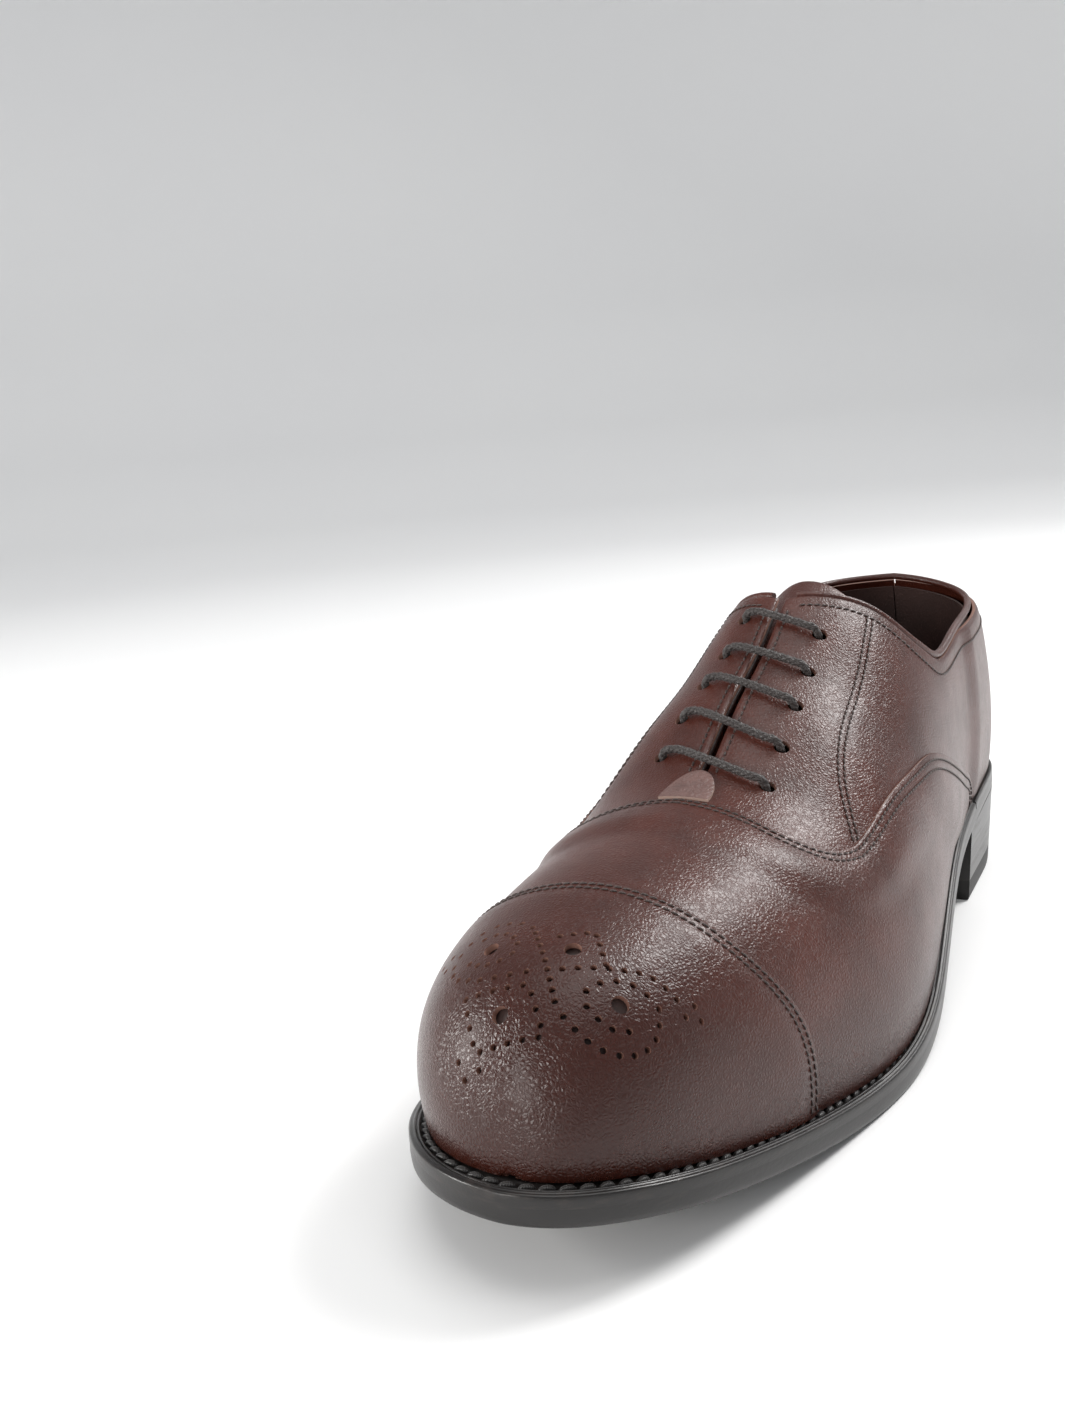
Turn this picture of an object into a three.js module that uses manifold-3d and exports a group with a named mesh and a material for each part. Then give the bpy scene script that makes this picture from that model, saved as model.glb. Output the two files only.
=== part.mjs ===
// A left-foot cap-toe oxford shoe, built the way a shoemaker builds it: a bottom stack of
// sole, welt and heel, and an upper of thin shells laid over one foot form (the last).
// Millimetres. +X runs from heel to toe, +Y to the outer (lateral) side, +Z up.
import * as THREE from 'three';
import { mergeVertices } from 'three/addons/utils/BufferGeometryUtils.js';
import Module from 'manifold-3d';

const wasm = await Module();
wasm.setup();

// ---------------------------------------------------------------- driving dimensions
const lastLength = 290.6;        // feather line, heel to toe tip
const heelHalfWidth = 31.8;      // half width of the heel seat
const lateralWaist = 29.4;       // half widths either side of the centre line
const medialWaist = 22.3;
const lateralBall = 44.6;
const medialBall = 40.4;
const toeSwing = 5;              // how far the toe turns in towards the other foot
const seatHeight = 33.8;         // heel seat above the ground
const toeSpring = 13.8;          // rise of the sole at the toe tip
const coneHeight = 116;          // last height above the seat at the heel
const instepHeight = 88;         // last height above the seat at the facings' middle
const toeHeight = 41.3;          // last height 30 mm behind the toe tip
const outsoleThickness = 4;
const weltThickness = 2.3;
const insoleThickness = 3;
const sockThickness = 0.9;
const upperThickness = 1.3;
const liningThickness = 1;
const stiffenerThickness = 1.3;  // heel counter and toe puff
const topPieceThickness = 6.4;   // rubber piece that meets the ground
const liftThickness = 5;
const heelLength = 76;           // from the heel's back to its breast
const heelTaper = 3;             // the heel's top piece is this much shorter than its seat
const weltHeelMargin = 5.6;      // sole edge past the feather line
const weltWaistMargin = 4.6;
const weltBallMargin = 5.5;
const weltToeMargin = 9.8;
const gap = 0.3;                 // clearance between touching pieces of the bottom
const liningEase = 0.25;         // how much deeper the vamp lining sits than the quarters'
const plyGap = 0.6;              // clearance between the faceted leathers of the upper
const seamLap = 9;               // how far one leather runs under the next
const eyeletCount = 5;
const eyeletHoleRadius = 2.1;
const eyeletTubeRadius = eyeletHoleRadius + 0.2;
const eyeletFlange = eyeletHoleRadius + 1;
const laceRadius = 1.2;

// ---------------------------------------------------------------- curves
const clamp = (v, lo, hi) => Math.min(hi, Math.max(lo, v));
const mix = (a, b, t) => a + (b - a) * t;
const smooth = (t) => {
  const c = clamp(t, 0, 1);
  return c * c * (3 - 2 * c);
};

// Natural cubic spline through [position, value] pairs, straight beyond both ends.
function spline(pairs) {
  const x = pairs.map((p) => p[0]);
  const y = pairs.map((p) => p[1]);
  const n = x.length;
  const second = new Array(n).fill(0);
  const work = new Array(n).fill(0);
  for (let i = 1; i < n - 1; i++) {
    const ratio = (x[i] - x[i - 1]) / (x[i + 1] - x[i - 1]);
    const p = ratio * second[i - 1] + 2;
    second[i] = (ratio - 1) / p;
    const slopes = (y[i + 1] - y[i]) / (x[i + 1] - x[i]) - (y[i] - y[i - 1]) / (x[i] - x[i - 1]);
    work[i] = ((6 * slopes) / (x[i + 1] - x[i - 1]) - ratio * work[i - 1]) / p;
  }
  for (let i = n - 2; i >= 0; i--) second[i] = second[i] * second[i + 1] + work[i];
  return (v) => {
    let k = 0;
    while (k < n - 2 && v > x[k + 1]) k++;
    const h = x[k + 1] - x[k];
    const a = (x[k + 1] - v) / h;
    const b = 1 - a;
    if (v < x[0] || v > x[n - 1]) {
      const end = v < x[0] ? 0 : n - 1;
      const turn = ((v < x[0] ? -2 * second[0] - second[1] : second[n - 2] + 2 * second[n - 1]) * h) / 6;
      return y[end] + ((y[k + 1] - y[k]) / h + turn) * (v - x[end]);
    }
    return a * y[k] + b * y[k + 1] + (((a ** 3 - a) * second[k] + (b ** 3 - b) * second[k + 1]) * h * h) / 6;
  };
}

// ---------------------------------------------------------------- the last
// A section of the last is named by its station s, measured along the bottom from the heel's
// back. The first sections fan out round the heel; the rest stand square to the centre line.
const heelCentre = 34;
const fanEnd = 26;
const squareFrom = 84;
const turnLength = fanEnd + (squareFrom - fanEnd) / 2;
const toeStart = lastLength - 64;
const toeStation = toeStart - heelCentre + turnLength;
const tipStation = toeStation + (lastLength - toeStart) * (Math.PI / 2);

const turned = (s) => {
  if (s < fanEnd) return s;
  const t = Math.min(1, (s - fanEnd) / (squareFrom - fanEnd));
  return fanEnd + (squareFrom - fanEnd) * (t - t ** 3 + t ** 4 / 2);
};
const fanAngle = (s) => ((Math.PI / 2) * turned(s)) / turnLength;
const centreX = (s) => {
  if (s <= toeStation) return heelCentre + s - turned(s);
  const angle = ((s - toeStation) / (tipStation - toeStation)) * (Math.PI / 2);
  return toeStart + (lastLength - toeStart) * Math.sin(angle);
};
const station = (x) => {
  if (x <= toeStart) return x - heelCentre + turnLength;
  return toeStation + (lastLength - toeStart) * Math.asin(Math.min(1, (x - toeStart) / (lastLength - toeStart)));
};
// Places along the last are written for a 292 mm last and stretch with its length.
const place = (x) => station((x * lastLength) / 292);

const lateralHalf = spline([
  [0, heelHalfWidth], [28, heelHalfWidth - 1.2], [52, heelHalfWidth - 2], [place(62), lateralWaist + 0.4],
  [place(90), mix(lateralWaist, lateralBall, 0.12)], [place(120), mix(lateralWaist, lateralBall, 0.4)],
  [place(150), mix(lateralWaist, lateralBall, 0.74)], [place(178), lateralBall],
  [place(200), lateralBall - 0.4], [place(218), lateralBall * 0.91], [place(236), lateralBall * 0.8],
  [place(262), lateralBall * 0.605], [place(279), lateralBall * 0.43], [place(288), lateralBall * 0.25],
  [tipStation, 0],
]);
const medialHalf = spline([
  [0, heelHalfWidth], [28, heelHalfWidth - 1.6], [52, heelHalfWidth - 3], [place(62), mix(medialWaist, heelHalfWidth, 0.5)],
  [place(90), medialWaist + 2.2], [place(118), medialWaist], [place(142), medialWaist + 1],
  [place(165), mix(medialWaist, medialBall, 0.36)], [place(188), mix(medialWaist, medialBall, 0.8)],
  [place(210), medialBall], [place(232), medialBall * 0.965], [place(262), medialBall * 0.795],
  [place(279), medialBall * 0.56], [place(288), medialBall * 0.33], [tipStation, 0],
]);
const centreSwing = spline([[0, 0], [place(120), 0.4], [place(200), -toeSwing], [place(250), -toeSwing - 1.4],
  [tipStation, -toeSwing - 0.6]]);
const soleStack = outsoleThickness + weltThickness + 2 * gap;
const seatAlong = spline([
  [-10, seatHeight], [0, seatHeight], [40, seatHeight - 0.9], [75, seatHeight - 4.2],
  [110, mix(soleStack, seatHeight, 0.58)], [150, mix(soleStack, seatHeight, 0.225)],
  [185, soleStack + 0.7], [205, soleStack + 0.05], [218, soleStack + 0.6], [240, soleStack + toeSpring * 0.24],
  [270, soleStack + toeSpring * 0.65], [292, soleStack + toeSpring], [304, soleStack + toeSpring * 1.12],
].map(([x, z]) => [(x * lastLength) / 292, z]));
const ridgeHeight = spline([
  [0, coneHeight], [50, coneHeight - 2], [place(75), coneHeight - 8], [place(110), instepHeight + 5],
  [place(135), instepHeight - 2], [place(150), instepHeight - 9], [place(170), toeHeight + 30.5],
  [place(190), toeHeight + 20.1], [place(210), toeHeight + 15.1], [place(232), toeHeight + 10.8],
  [place(262), toeHeight], [place(279), toeHeight * 0.745], [place(288), toeHeight * 0.42], [tipStation, 0],
]);
const sideRise = spline([[0, 0.42], [50, 0.42], [place(90), 0.42], [place(135), 0.45], [place(190), 0.52],
  [place(232), 0.57], [tipStation, 0.6]]);
const lateralCrown = spline([[0, 0.3], [50, 0.4], [place(90), 0.78], [place(120), 0.78], [place(150), 0.74],
  [place(190), 0.74], [place(232), 0.76], [place(262), 0.73], [tipStation, 0.66]]);
const medialCrown = spline([[0, 0.3], [50, 0.45], [place(90), 0.86], [place(120), 1.06], [place(150), 1.19],
  [place(170), 1.06], [place(190), 0.86], [place(232), 0.67], [place(262), 0.72], [tipStation, 0.66]]);
const lateralLean = spline([[0, 5], [50, 6.8], [place(90), 7.8], [place(130), 5.6], [place(190), 5],
  [place(250), 5], [tipStation, 3]]);
const medialLean = spline([[0, 5], [50, 5.2], [place(90), 6.4], [place(130), 11], [place(165), 11.4],
  [place(210), 5.2], [place(250), 6.2], [tipStation, 3]]);

// A point of the last: w is 0 on the ridge, 1 on the lateral feather line, -1 on the medial one.
// A station below zero is the same distance round the heel on the other side.
function lastPoint(station_, w_) {
  const s = Math.abs(station_);
  const w = station_ < 0 ? -w_ : w_;
  const side = w < 0 ? -1 : 1;
  const t = 1 - Math.abs(w);
  const half = (side > 0 ? lateralHalf : medialHalf)(s);
  const lean = (side > 0 ? lateralLean : medialLean)(s);
  const crown = (side > 0 ? lateralCrown : medialCrown)(s);
  const height = ridgeHeight(s);
  const angle = fanAngle(s);
  const x = centreX(s);
  const low = 3 * (1 - t) ** 2 * t;
  const high = 3 * (1 - t) * t ** 2;
  const reach = (1 - t) ** 3 * half + low * (half + lean) + high * half * crown;
  const rise = low * height * sideRise(s) + high * height + t ** 3 * height;
  return new THREE.Vector3(
    x - Math.cos(angle) * reach,
    centreSwing(s) + side * Math.sin(angle) * reach,
    seatAlong(x - Math.cos(angle) * half) + rise,
  );
}

// The same point moved out of the last by an offset, along the surface's normal.
function leatherPoint(s, w, offset) {
  const ds = 0.2;
  const dw = 0.002;
  const ahead = Math.min(s, tipStation - ds);
  const along = lastPoint(ahead + ds, w).sub(lastPoint(ahead - ds, w));
  const over = clamp(w + dw, -1, 1);
  const under = clamp(w - dw, -1, 1);
  const across = lastPoint(s, over).sub(lastPoint(s, under));
  const normal = along.cross(across).normalize();
  const point = lastPoint(s, w).addScaledVector(normal, offset);
  point.z = Math.max(point.z, seatAlong(point.x));
  return point;
}

// ---------------------------------------------------------------- solids from faces
function closedGeometry(points, faces) {
  const geometry = new THREE.BufferGeometry();
  geometry.setAttribute('position', new THREE.Float32BufferAttribute(points.flatMap((p) => [p.x, p.y, p.z]), 3));
  let volume = 0;
  for (const [a, b, c] of faces) volume += points[a].dot(points[b].clone().cross(points[c]));
  geometry.setIndex(volume > 0 ? faces.flat() : faces.map(([a, b, c]) => [a, c, b]).flat());
  return mergeVertices(geometry, 1e-4);
}

// Leather cut as grids of [station, w, low offset, high offset] and given its thickness.
// Grids that share points are joined there; every free edge gets a wall.
function leather(grids) {
  const cells = [];
  const nodes = [];
  const known = new Map();
  const nodeOf = ([s, w, low, high]) => {
    const at = lastPoint(s, w);
    const key = [at.x, at.y, at.z].map((v) => Math.round(v * 200)).join();
    if (!known.has(key)) {
      known.set(key, nodes.length);
      nodes.push([leatherPoint(s, w, high), leatherPoint(s, w, low)]);
    }
    return known.get(key);
  };
  for (const rows of grids) {
    const ids = rows.map((row) => row.map(nodeOf));
    for (let i = 0; i + 1 < ids.length; i++) {
      for (let j = 0; j + 1 < ids[i].length; j++) {
        const [a, b, c, d] = [ids[i][j], ids[i][j + 1], ids[i + 1][j + 1], ids[i + 1][j]];
        cells.push([a, b, c], [a, c, d]);
      }
    }
  }
  const sheet = cells.filter(([a, b, c]) => a !== b && b !== c && a !== c);
  const count = nodes.length;
  const edges = new Set(sheet.flatMap(([a, b, c]) => [`${a},${b}`, `${b},${c}`, `${c},${a}`]));
  const faces = sheet.flatMap(([a, b, c]) => [[a, b, c], [a + count, c + count, b + count]]);
  for (const edge of edges) {
    const [a, b] = edge.split(',').map(Number);
    if (!edges.has(`${b},${a}`)) faces.push([b, a, a + count], [b, a + count, b + count]);
  }
  return closedGeometry([...nodes.map((n) => n[0]), ...nodes.map((n) => n[1])], faces);
}

// A solid skinned over a row of closed loops, with flat ends.
function skin(loops) {
  const size = loops[0].length;
  const points = loops.flat();
  const faces = [];
  for (let i = 0; i + 1 < loops.length; i++) {
    for (let j = 0; j < size; j++) {
      const a = i * size + j;
      const b = i * size + ((j + 1) % size);
      faces.push([a, b, b + size], [a, b + size, a + size]);
    }
  }
  const last = (loops.length - 1) * size;
  for (let j = 1; j + 1 < size; j++) faces.push([0, j + 1, j], [last, last + j, last + j + 1]);
  return closedGeometry(points, faces);
}

const finishes = {
  calf: [0x5c302b, 0.42],
  lining: [0x2e1c18, 0.6],
  sole: [0x1d1512, 0.45],
  cork: [0x9a7448, 0.9],
  insole: [0x8a6242, 0.8],
  rubber: [0x151313, 0.85],
  steel: [0x9aa0a4, 0.35, 0.9],
  brass: [0x8a6a3a, 0.4, 0.9],
  cord: [0x241815, 0.7],
};
const shoe = new THREE.Group();

function addPiece(name, geometry, finish) {
  const [color, roughness, metalness = 0] = finishes[finish];
  const mesh = new THREE.Mesh(geometry, new THREE.MeshStandardMaterial({ color, roughness, metalness }));
  mesh.name = name;
  shoe.add(mesh);
  return mesh;
}

const steps = (count, map) => Array.from({ length: count + 1 }, (_, i) => map(i / count));
const easeEnds = (t) => (1 - Math.cos(Math.PI * t)) / 2;

// ---------------------------------------------------------------- bottom
// The feather line round the whole shoe: q runs from the heel's back along the lateral side
// (q > 0) or the medial side (q < 0) to the toe tip at plus or minus tipStation.
function feather(q) {
  const s = Math.min(Math.abs(q), tipStation);
  const side = q < 0 ? -1 : 1;
  const half = (side > 0 ? lateralHalf : medialHalf)(s);
  const angle = fanAngle(s);
  return new THREE.Vector2(centreX(s) - Math.cos(angle) * half, centreSwing(s) + side * Math.sin(angle) * half);
}
function sideStep(q, distance) {
  const wrap = (v) => (Math.abs(v) > tipStation ? v - Math.sign(v) * 2 * tipStation : v);
  const along = feather(wrap(q + 0.5)).sub(feather(wrap(q - 0.5))).normalize();
  return feather(q).add(new THREE.Vector2(along.y, -along.x).multiplyScalar(-distance));
}
const weltMargin = spline([[0, weltHeelMargin], [place(70), weltHeelMargin], [place(120), weltWaistMargin],
  [place(160), mix(weltWaistMargin, weltBallMargin, 0.5)], [place(195), weltBallMargin],
  [place(235), mix(weltBallMargin, weltToeMargin, 0.3)], [tipStation, weltToeMargin]]);

// Both sides of an outline set off from the feather line, as y for a given x.
function outlineSides(distanceAt) {
  const stations = steps(220, (t) => t * tipStation);
  const sides = [1, -1].map((side) => stations.map((s) => sideStep(side * s, distanceAt(s))));
  const yAt = (points, x) => {
    for (let i = 0; i + 1 < points.length; i++) {
      const [a, b] = [points[i], points[i + 1]];
      if (x >= a.x && x <= b.x) return mix(a.y, b.y, (x - a.x) / Math.max(b.x - a.x, 1e-9));
    }
    return points[x < points[0].x ? 0 : points.length - 1].y;
  };
  return {
    back: sides[0][0].x,
    front: sides[0].at(-1).x,
    lateral: (x) => yAt(sides[0], x),
    medial: (x) => yAt(sides[1], x),
  };
}

// A flat-edged layer of the bottom between two x positions.
function layer(outline, from, to, topAt, bottomAt, count = 40) {
  const edge = 0.4;
  const start = Math.max(from, outline.back + edge);
  const end = Math.min(to, outline.front - edge);
  return skin(steps(count, (t) => {
    const x = mix(start, end, easeEnds(t));
    const [y0, y1] = [outline.medial(x), outline.lateral(x)];
    const [z0, z1] = [bottomAt(x), topAt(x)];
    return [[y0, z0], [y1, z0], [y1, z1], [y0, z1]].map(([y, z]) => new THREE.Vector3(x, y, z));
  }));
}

const weltTop = (x) => seatAlong(x) - gap;
const weltBottom = (x) => weltTop(x) - weltThickness;
const outsoleTop = (x) => weltBottom(x) - gap;
const outsoleBottom = (x) => outsoleTop(x) - outsoleThickness;
const weltWidth = 6;
const weltEnd = 66;
const soleOutline = outlineSides(weltMargin);
const innerOutline = outlineSides(() => -weltWidth - gap);
const insoleOutline = outlineSides(() => -0.7);
const sockOutline = outlineSides(() => -1.2);
const insoleBottom = (x) => seatAlong(x) + gap;
const insoleTop = (x) => insoleBottom(x) + insoleThickness;

addPiece('outsole', layer(soleOutline, -20, 400, outsoleTop, outsoleBottom, 56), 'sole');
addPiece('insole', layer(insoleOutline, -20, 400, insoleTop, insoleBottom), 'insole');
addPiece('sock_liner', layer(sockOutline, -20, 400, (x) => insoleTop(x) + gap + sockThickness,
  (x) => insoleTop(x) + gap), 'lining');
const fillerStart = 164;
addPiece('cork_filler', layer(innerOutline, fillerStart, 400, weltTop, weltBottom), 'cork');
const shankHalfWidth = 7;
const shankOutline = {
  back: -100,
  front: 1000,
  lateral: () => shankHalfWidth + 1,
  medial: () => -shankHalfWidth + 1,
};
addPiece('shank', layer(shankOutline, 58, fillerStart - 4, (x) => weltTop(x) - 0.3,
  (x) => weltBottom(x) + 0.9, 24), 'steel');

// Welt and rand: strips that follow the feather line round the front and round the heel.
function strip(stations) {
  return skin(stations.map((q) => {
    const outer = sideStep(q, weltMargin(Math.abs(q)));
    const inner = sideStep(q, -weltWidth);
    const rim = [[outer, weltTop], [inner, weltTop], [inner, weltBottom], [outer, weltBottom]];
    return rim.map(([p, z]) => new THREE.Vector3(p.x, p.y, z(p.x)));
  }));
}
const weltStart = station(weltEnd);
const roundToe = steps(64, (t) => mix(weltStart, 2 * tipStation - weltStart, t));
addPiece('welt', strip(roundToe.map((q) => (q > tipStation ? q - 2 * tipStation : q))), 'sole');
addPiece('heel_rand', strip(steps(30, (t) => mix(-1, 1, t) * (weltStart - 1))), 'sole');

// Heel: a rubber top piece and three leather lifts, tapering towards the ground, each cut
// square at the breast. The uppermost lift is wedged to the outsole.
const breast = heelLength + soleOutline.back;
const heelTop = outsoleBottom(0);
const taperAt = (z) => 1 - (heelTaper * (1 - clamp(z / heelTop, 0, 1))) / (2 * heelHalfWidth);
function lift(bottomAt, topAt) {
  return skin(steps(16, (t) => {
    const x = mix(soleOutline.back + 0.4, breast, 1 - (1 - t) ** 2 * (1 + 0.2 * t));
    const hollow = (y) => 2.2 * t ** 4 * (1 - (y / heelHalfWidth) ** 2);
    const [y0, y1] = [soleOutline.medial(x), soleOutline.lateral(x)];
    const across = [y0, mix(y0, y1, 0.25), mix(y0, y1, 0.5), mix(y0, y1, 0.75), y1];
    const corner = (y, zAt) => {
      const z = zAt(x);
      const k = taperAt(z);
      return new THREE.Vector3(heelCentre + (x - heelCentre) * k - hollow(y), y * k, z);
    };
    return [...across.map((y) => corner(y, bottomAt)), ...across.reverse().map((y) => corner(y, topAt))];
  }));
}
let floor = topPieceThickness;
addPiece('heel_top_piece', lift(() => 0, () => topPieceThickness), 'rubber');
for (const number of [1, 2]) {
  const bottom = floor + gap;
  floor = bottom + liftThickness;
  const top = floor;
  addPiece(`heel_lift_${number}`, lift(() => bottom, () => top), 'sole');
}
addPiece('heel_lift_3', lift(() => floor + gap, (x) => outsoleBottom(x) - gap), 'sole');

// ---------------------------------------------------------------- seams of the upper
// Seams are drawn on the last as [x, w] points and read back as [station, w].
const acrossLength = 96;   // mm of leather for one unit of w, near enough everywhere
function seam(points) {
  const along = spline(points.map(([x], i) => [i, x]));
  const over = spline(points.map(([, w], i) => [i, w]));
  return (u) => [place(along(u * (points.length - 1))), over(u * (points.length - 1))];
}
// The seam moved sideways over the leather by a distance in mm (positive: away from the ridge).
function beside(curve, distance) {
  return (u) => {
    const [a, b] = [curve(clamp(u - 0.01, 0, 1)), curve(clamp(u + 0.01, 0, 1))];
    const [ds, dw] = [b[0] - a[0], (b[1] - a[1]) * acrossLength];
    const length = Math.hypot(ds, dw);
    const [s, w] = curve(u);
    return [s - (dw / length) * distance, w + ((ds / length) * distance) / acrossLength];
  };
}
const distanceTo = (curve, count = 80) => {
  const line = steps(count, curve);
  return (s, w) => Math.min(...line.map((p) => Math.hypot(p[0] - s, (p[1] - w) * acrossLength)));
};
// Reads w from a curve whose station only grows.
const wAlong = (curve, count = 160) => {
  const line = steps(count, curve);
  return (s) => {
    const k = line.findIndex((p) => p[0] >= s);
    if (k <= 0) return line[k < 0 ? count : 0][1];
    const [a, b] = [line[k - 1], line[k]];
    return mix(a[1], b[1], (s - a[0]) / Math.max(b[0] - a[0], 1e-9));
  };
};

const throatX = 203.6;
const tailX = 67;           // where the vamp's wing meets the sole
const capX = [247.8, 247.3, 243.5, 236, 233];
const [cornerX, cornerW] = [191, 0.445];
const wing = seam([[tailX, 1], [71, 0.93], [85, 0.868], [104, 0.775], [125, 0.66], [143, 0.572], [164, 0.503],
  [cornerX - 12, 0.469], [cornerX, cornerW]]);
const throat = seam([[cornerX, cornerW], [199.5, 0.395], [204.8, 0.31], [throatX + 2.2, 0.2], [throatX, 0]]);
const wholeSeam = (u) => (u < 0.7 ? wing(u / 0.7) : throat((u - 0.7) / 0.3));
const seamDistance = distanceTo(wholeSeam, 120);
const capSeam = (w) => place(spline(capX.map((x, i) => [i / 4, x]))(Math.abs(w)));
const toeEnd = tipStation - 1.2;

const toplineOf = (raise) => seam([[-21, 0.62], [-3, 0.63 - raise * 0.3], [32, 0.65 - raise], [58, 0.64 - raise],
  [78, 0.612 - raise], [99, 0.562 - raise * 0.6], [110, 0.49], [118, 0.4], [124, 0.285], [128.3, 0.19],
  [131.3, 0.11], [134, 0.02]]);
const facingTopX = 134;
const facingGap = 0.012;
const sides = [
  { name: 'lateral', sign: 1, topline: toplineOf(0) },
  { name: 'medial', sign: -1, topline: toplineOf(0.03) },
];
const liningSeam = (w) => mix(place(throatX + 3), place(160), Math.abs(w));

// How far each layer stands off the last.
const counterEnd = 80;
const counterTop = 0.69;
const counterLift = (s, w) => (stiffenerThickness + plyGap) * smooth((counterEnd + 14 - Math.abs(s)) / 13)
  * smooth((Math.abs(w) - (counterTop - 0.1)) / 0.09);
const quarterLow = (s, w) => liningThickness + plyGap + counterLift(s, w);
const overlapLift = (s, w) => (upperThickness + plyGap) * smooth((seamLap + 12 - seamDistance(s, Math.abs(w))) / 9);
const vampLow = (s, w) => quarterLow(s, w) + overlapLift(s, w);
const capLow = liningThickness + upperThickness + 2 * plyGap;
const ply = (s, w, low, thickness) => [s, w, low, low + thickness];

// ---------------------------------------------------------------- forefoot leathers
const acrossToe = (count) => steps(count, (t) => mix(-1, 1, t));
const rowsPerLast = (spacing) => Math.round(lastLength / spacing);
const towardsToe = (from, rows, columns, low, thickness) => steps(rows, (t) => acrossToe(columns).map((w) => {
  const s = mix(from(w), toeEnd, 1 - (1 - t) ** 1.35);
  return ply(s, w, low(s, w), thickness);
}));
addPiece('toe_cap', leather([towardsToe(capSeam, rowsPerLast(24.2), 20, () => capLow, upperThickness)]), 'calf');
addPiece('toe_puff', leather([towardsToe((w) => capSeam(w) + seamLap + 1.5, rowsPerLast(32.3), 20,
  () => liningThickness + plyGap, stiffenerThickness)]), 'insole');
addPiece('vamp_lining', leather([towardsToe((w) => liningSeam(w) + 0.6, rowsPerLast(16.1), 20,
  () => -liningEase, liningThickness)]), 'lining');

// The vamp: a saddle from the cap to the throat, and two wings that run back to the heel.
const wingFootX = cornerX - 11;
const cornerToFoot = (t) => [mix(place(cornerX), place(wingFootX), t), mix(cornerW, 1, t)];
const halfEdge = [...steps(5, (t) => throat(1 - t)), ...steps(6, cornerToFoot).slice(1)];
const vampPly = (sign) => ([s, w]) => ply(s, sign * w, vampLow(s, sign * w), upperThickness);
const vampRows = (sign) => steps(9, (t) => halfEdge.map(([s, w]) => {
  const front = capSeam(w) + seamLap;
  return vampPly(sign)([mix(s, front, t), w]);
}));
const wingRows = (sign) => steps(15, (t) => {
  const top = wing(1 - t * 0.985);
  const bottom = [mix(place(wingFootX), place(tailX), t), 1];
  return steps(6, (v) => vampPly(sign)([mix(top[0], bottom[0], v), mix(top[1], bottom[1], v)]));
});
const mirrored = (rows) => rows.map((row) => row.reverse());
addPiece('vamp', leather([vampRows(1), mirrored(vampRows(-1)), mirrored(wingRows(1)), wingRows(-1)]), 'calf');

// ---------------------------------------------------------------- quarters and heel leathers
// Each quarter's lower edge is the sole back to the wing, then runs under the vamp.
const quarterLap = beside(wholeSeam, seamLap);
const lapW = wAlong((u) => quarterLap(mix(0.02, 0.99, u)));
const quarterFront = place(throatX) + seamLap * 0.93;
const quarterBottom = (s) => (s < quarterLap(0.02)[0] ? 1 : Math.min(1, lapW(s)));
const backGap = 0.22;   // half of the seam up the back, as a station
const facingTop = place(facingTopX);

// Stations bunched where the facing turns its corner and where the wing ends.
const quarterStations = [...steps(12, (t) => mix(backGap, place(tailX), t)),
  ...steps(6, (t) => mix(place(tailX), place(108), t)).slice(1),
  ...steps(8, (t) => mix(place(108), facingTop, 1 - (1 - t) ** 1.4)).slice(1),
  ...steps(10, (t) => mix(facingTop, quarterFront, t)).slice(1)];
function topEdge(side) {
  const topline = wAlong(side.topline);
  return (s) => (s >= facingTop ? facingGap : Math.max(facingGap, topline(s)));
}
function quarterRows(side, rows) {
  const top = topEdge(side);
  return quarterStations.map((s) => {
    const [w0, w1] = [top(s), quarterBottom(s)];
    return steps(rows, (v) => mix(w0, w1, v)).map((w) => ply(s, side.sign * w, quarterLow(s, w), upperThickness));
  });
}
// Shares of the lining's length, bunched where the facing turns its corner.
const liningShares = [...steps(11, (t) => 0.54 * t), ...steps(8, (t) => mix(0.54, 0.7, t)).slice(1),
  ...steps(7, (t) => mix(0.7, 1, t)).slice(1)];
function quarterLiningRows(side, rows) {
  const top = topEdge(side);
  const [front, foot] = [liningSeam(facingGap) - 0.1, liningSeam(1) - 0.1];
  return liningShares.map((t) => {
    const leaning = (w) => mix(mix(backGap, front, t), mix(backGap, foot, t), (w - facingGap) / (1 - facingGap));
    let peak = top(leaning(0.5));
    for (let i = 0; i < 12; i++) peak = mix(peak, top(leaning(peak)), 0.6);
    const low = peak + (leaning(peak) < facingTop ? 1 / acrossLength : 0);
    return steps(rows, (v) => mix(low, 1, v)).map((w) => ply(leaning(w), side.sign * w, 0, liningThickness));
  });
}
// The eyelets of one side as [x, w], counted up from the throat. The rows slant a little.
const eyeletRows = (sign) => steps(eyeletCount - 1, (t) => [mix(187.5 + 3.5 * sign, 141 + 1.5 * sign, t),
  mix(0.158 + 0.014 * sign, 0.125 + 0.022 * sign, t)]);

// Booleans: the lace holes are punched square to the leather.
function toSolid(geometry) {
  return new wasm.Manifold(new wasm.Mesh({
    numProp: 3,
    vertProperties: new Float32Array(geometry.attributes.position.array),
    triVerts: new Uint32Array(geometry.index.array),
  }));
}
function fromSolid(solid) {
  const { vertProperties, triVerts } = solid.getMesh();
  const geometry = new THREE.BufferGeometry();
  geometry.setAttribute('position', new THREE.Float32BufferAttribute(vertProperties, 3));
  geometry.setIndex([...triVerts]);
  return geometry;
}
function pegAt(s, w, radius, from, to, segments = 8) {
  const peg = new THREE.CylinderGeometry(radius, radius, to - from, segments);
  for (const name of ['normal', 'uv']) peg.deleteAttribute(name);
  const [low, high] = [leatherPoint(s, w, from), leatherPoint(s, w, to)];
  const up = new THREE.Vector3(0, 1, 0);
  peg.applyQuaternion(new THREE.Quaternion().setFromUnitVectors(up, high.clone().sub(low).normalize()));
  peg.translate(...low.add(high).multiplyScalar(0.5).toArray());
  return mergeVertices(peg, 1e-5);
}
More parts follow.
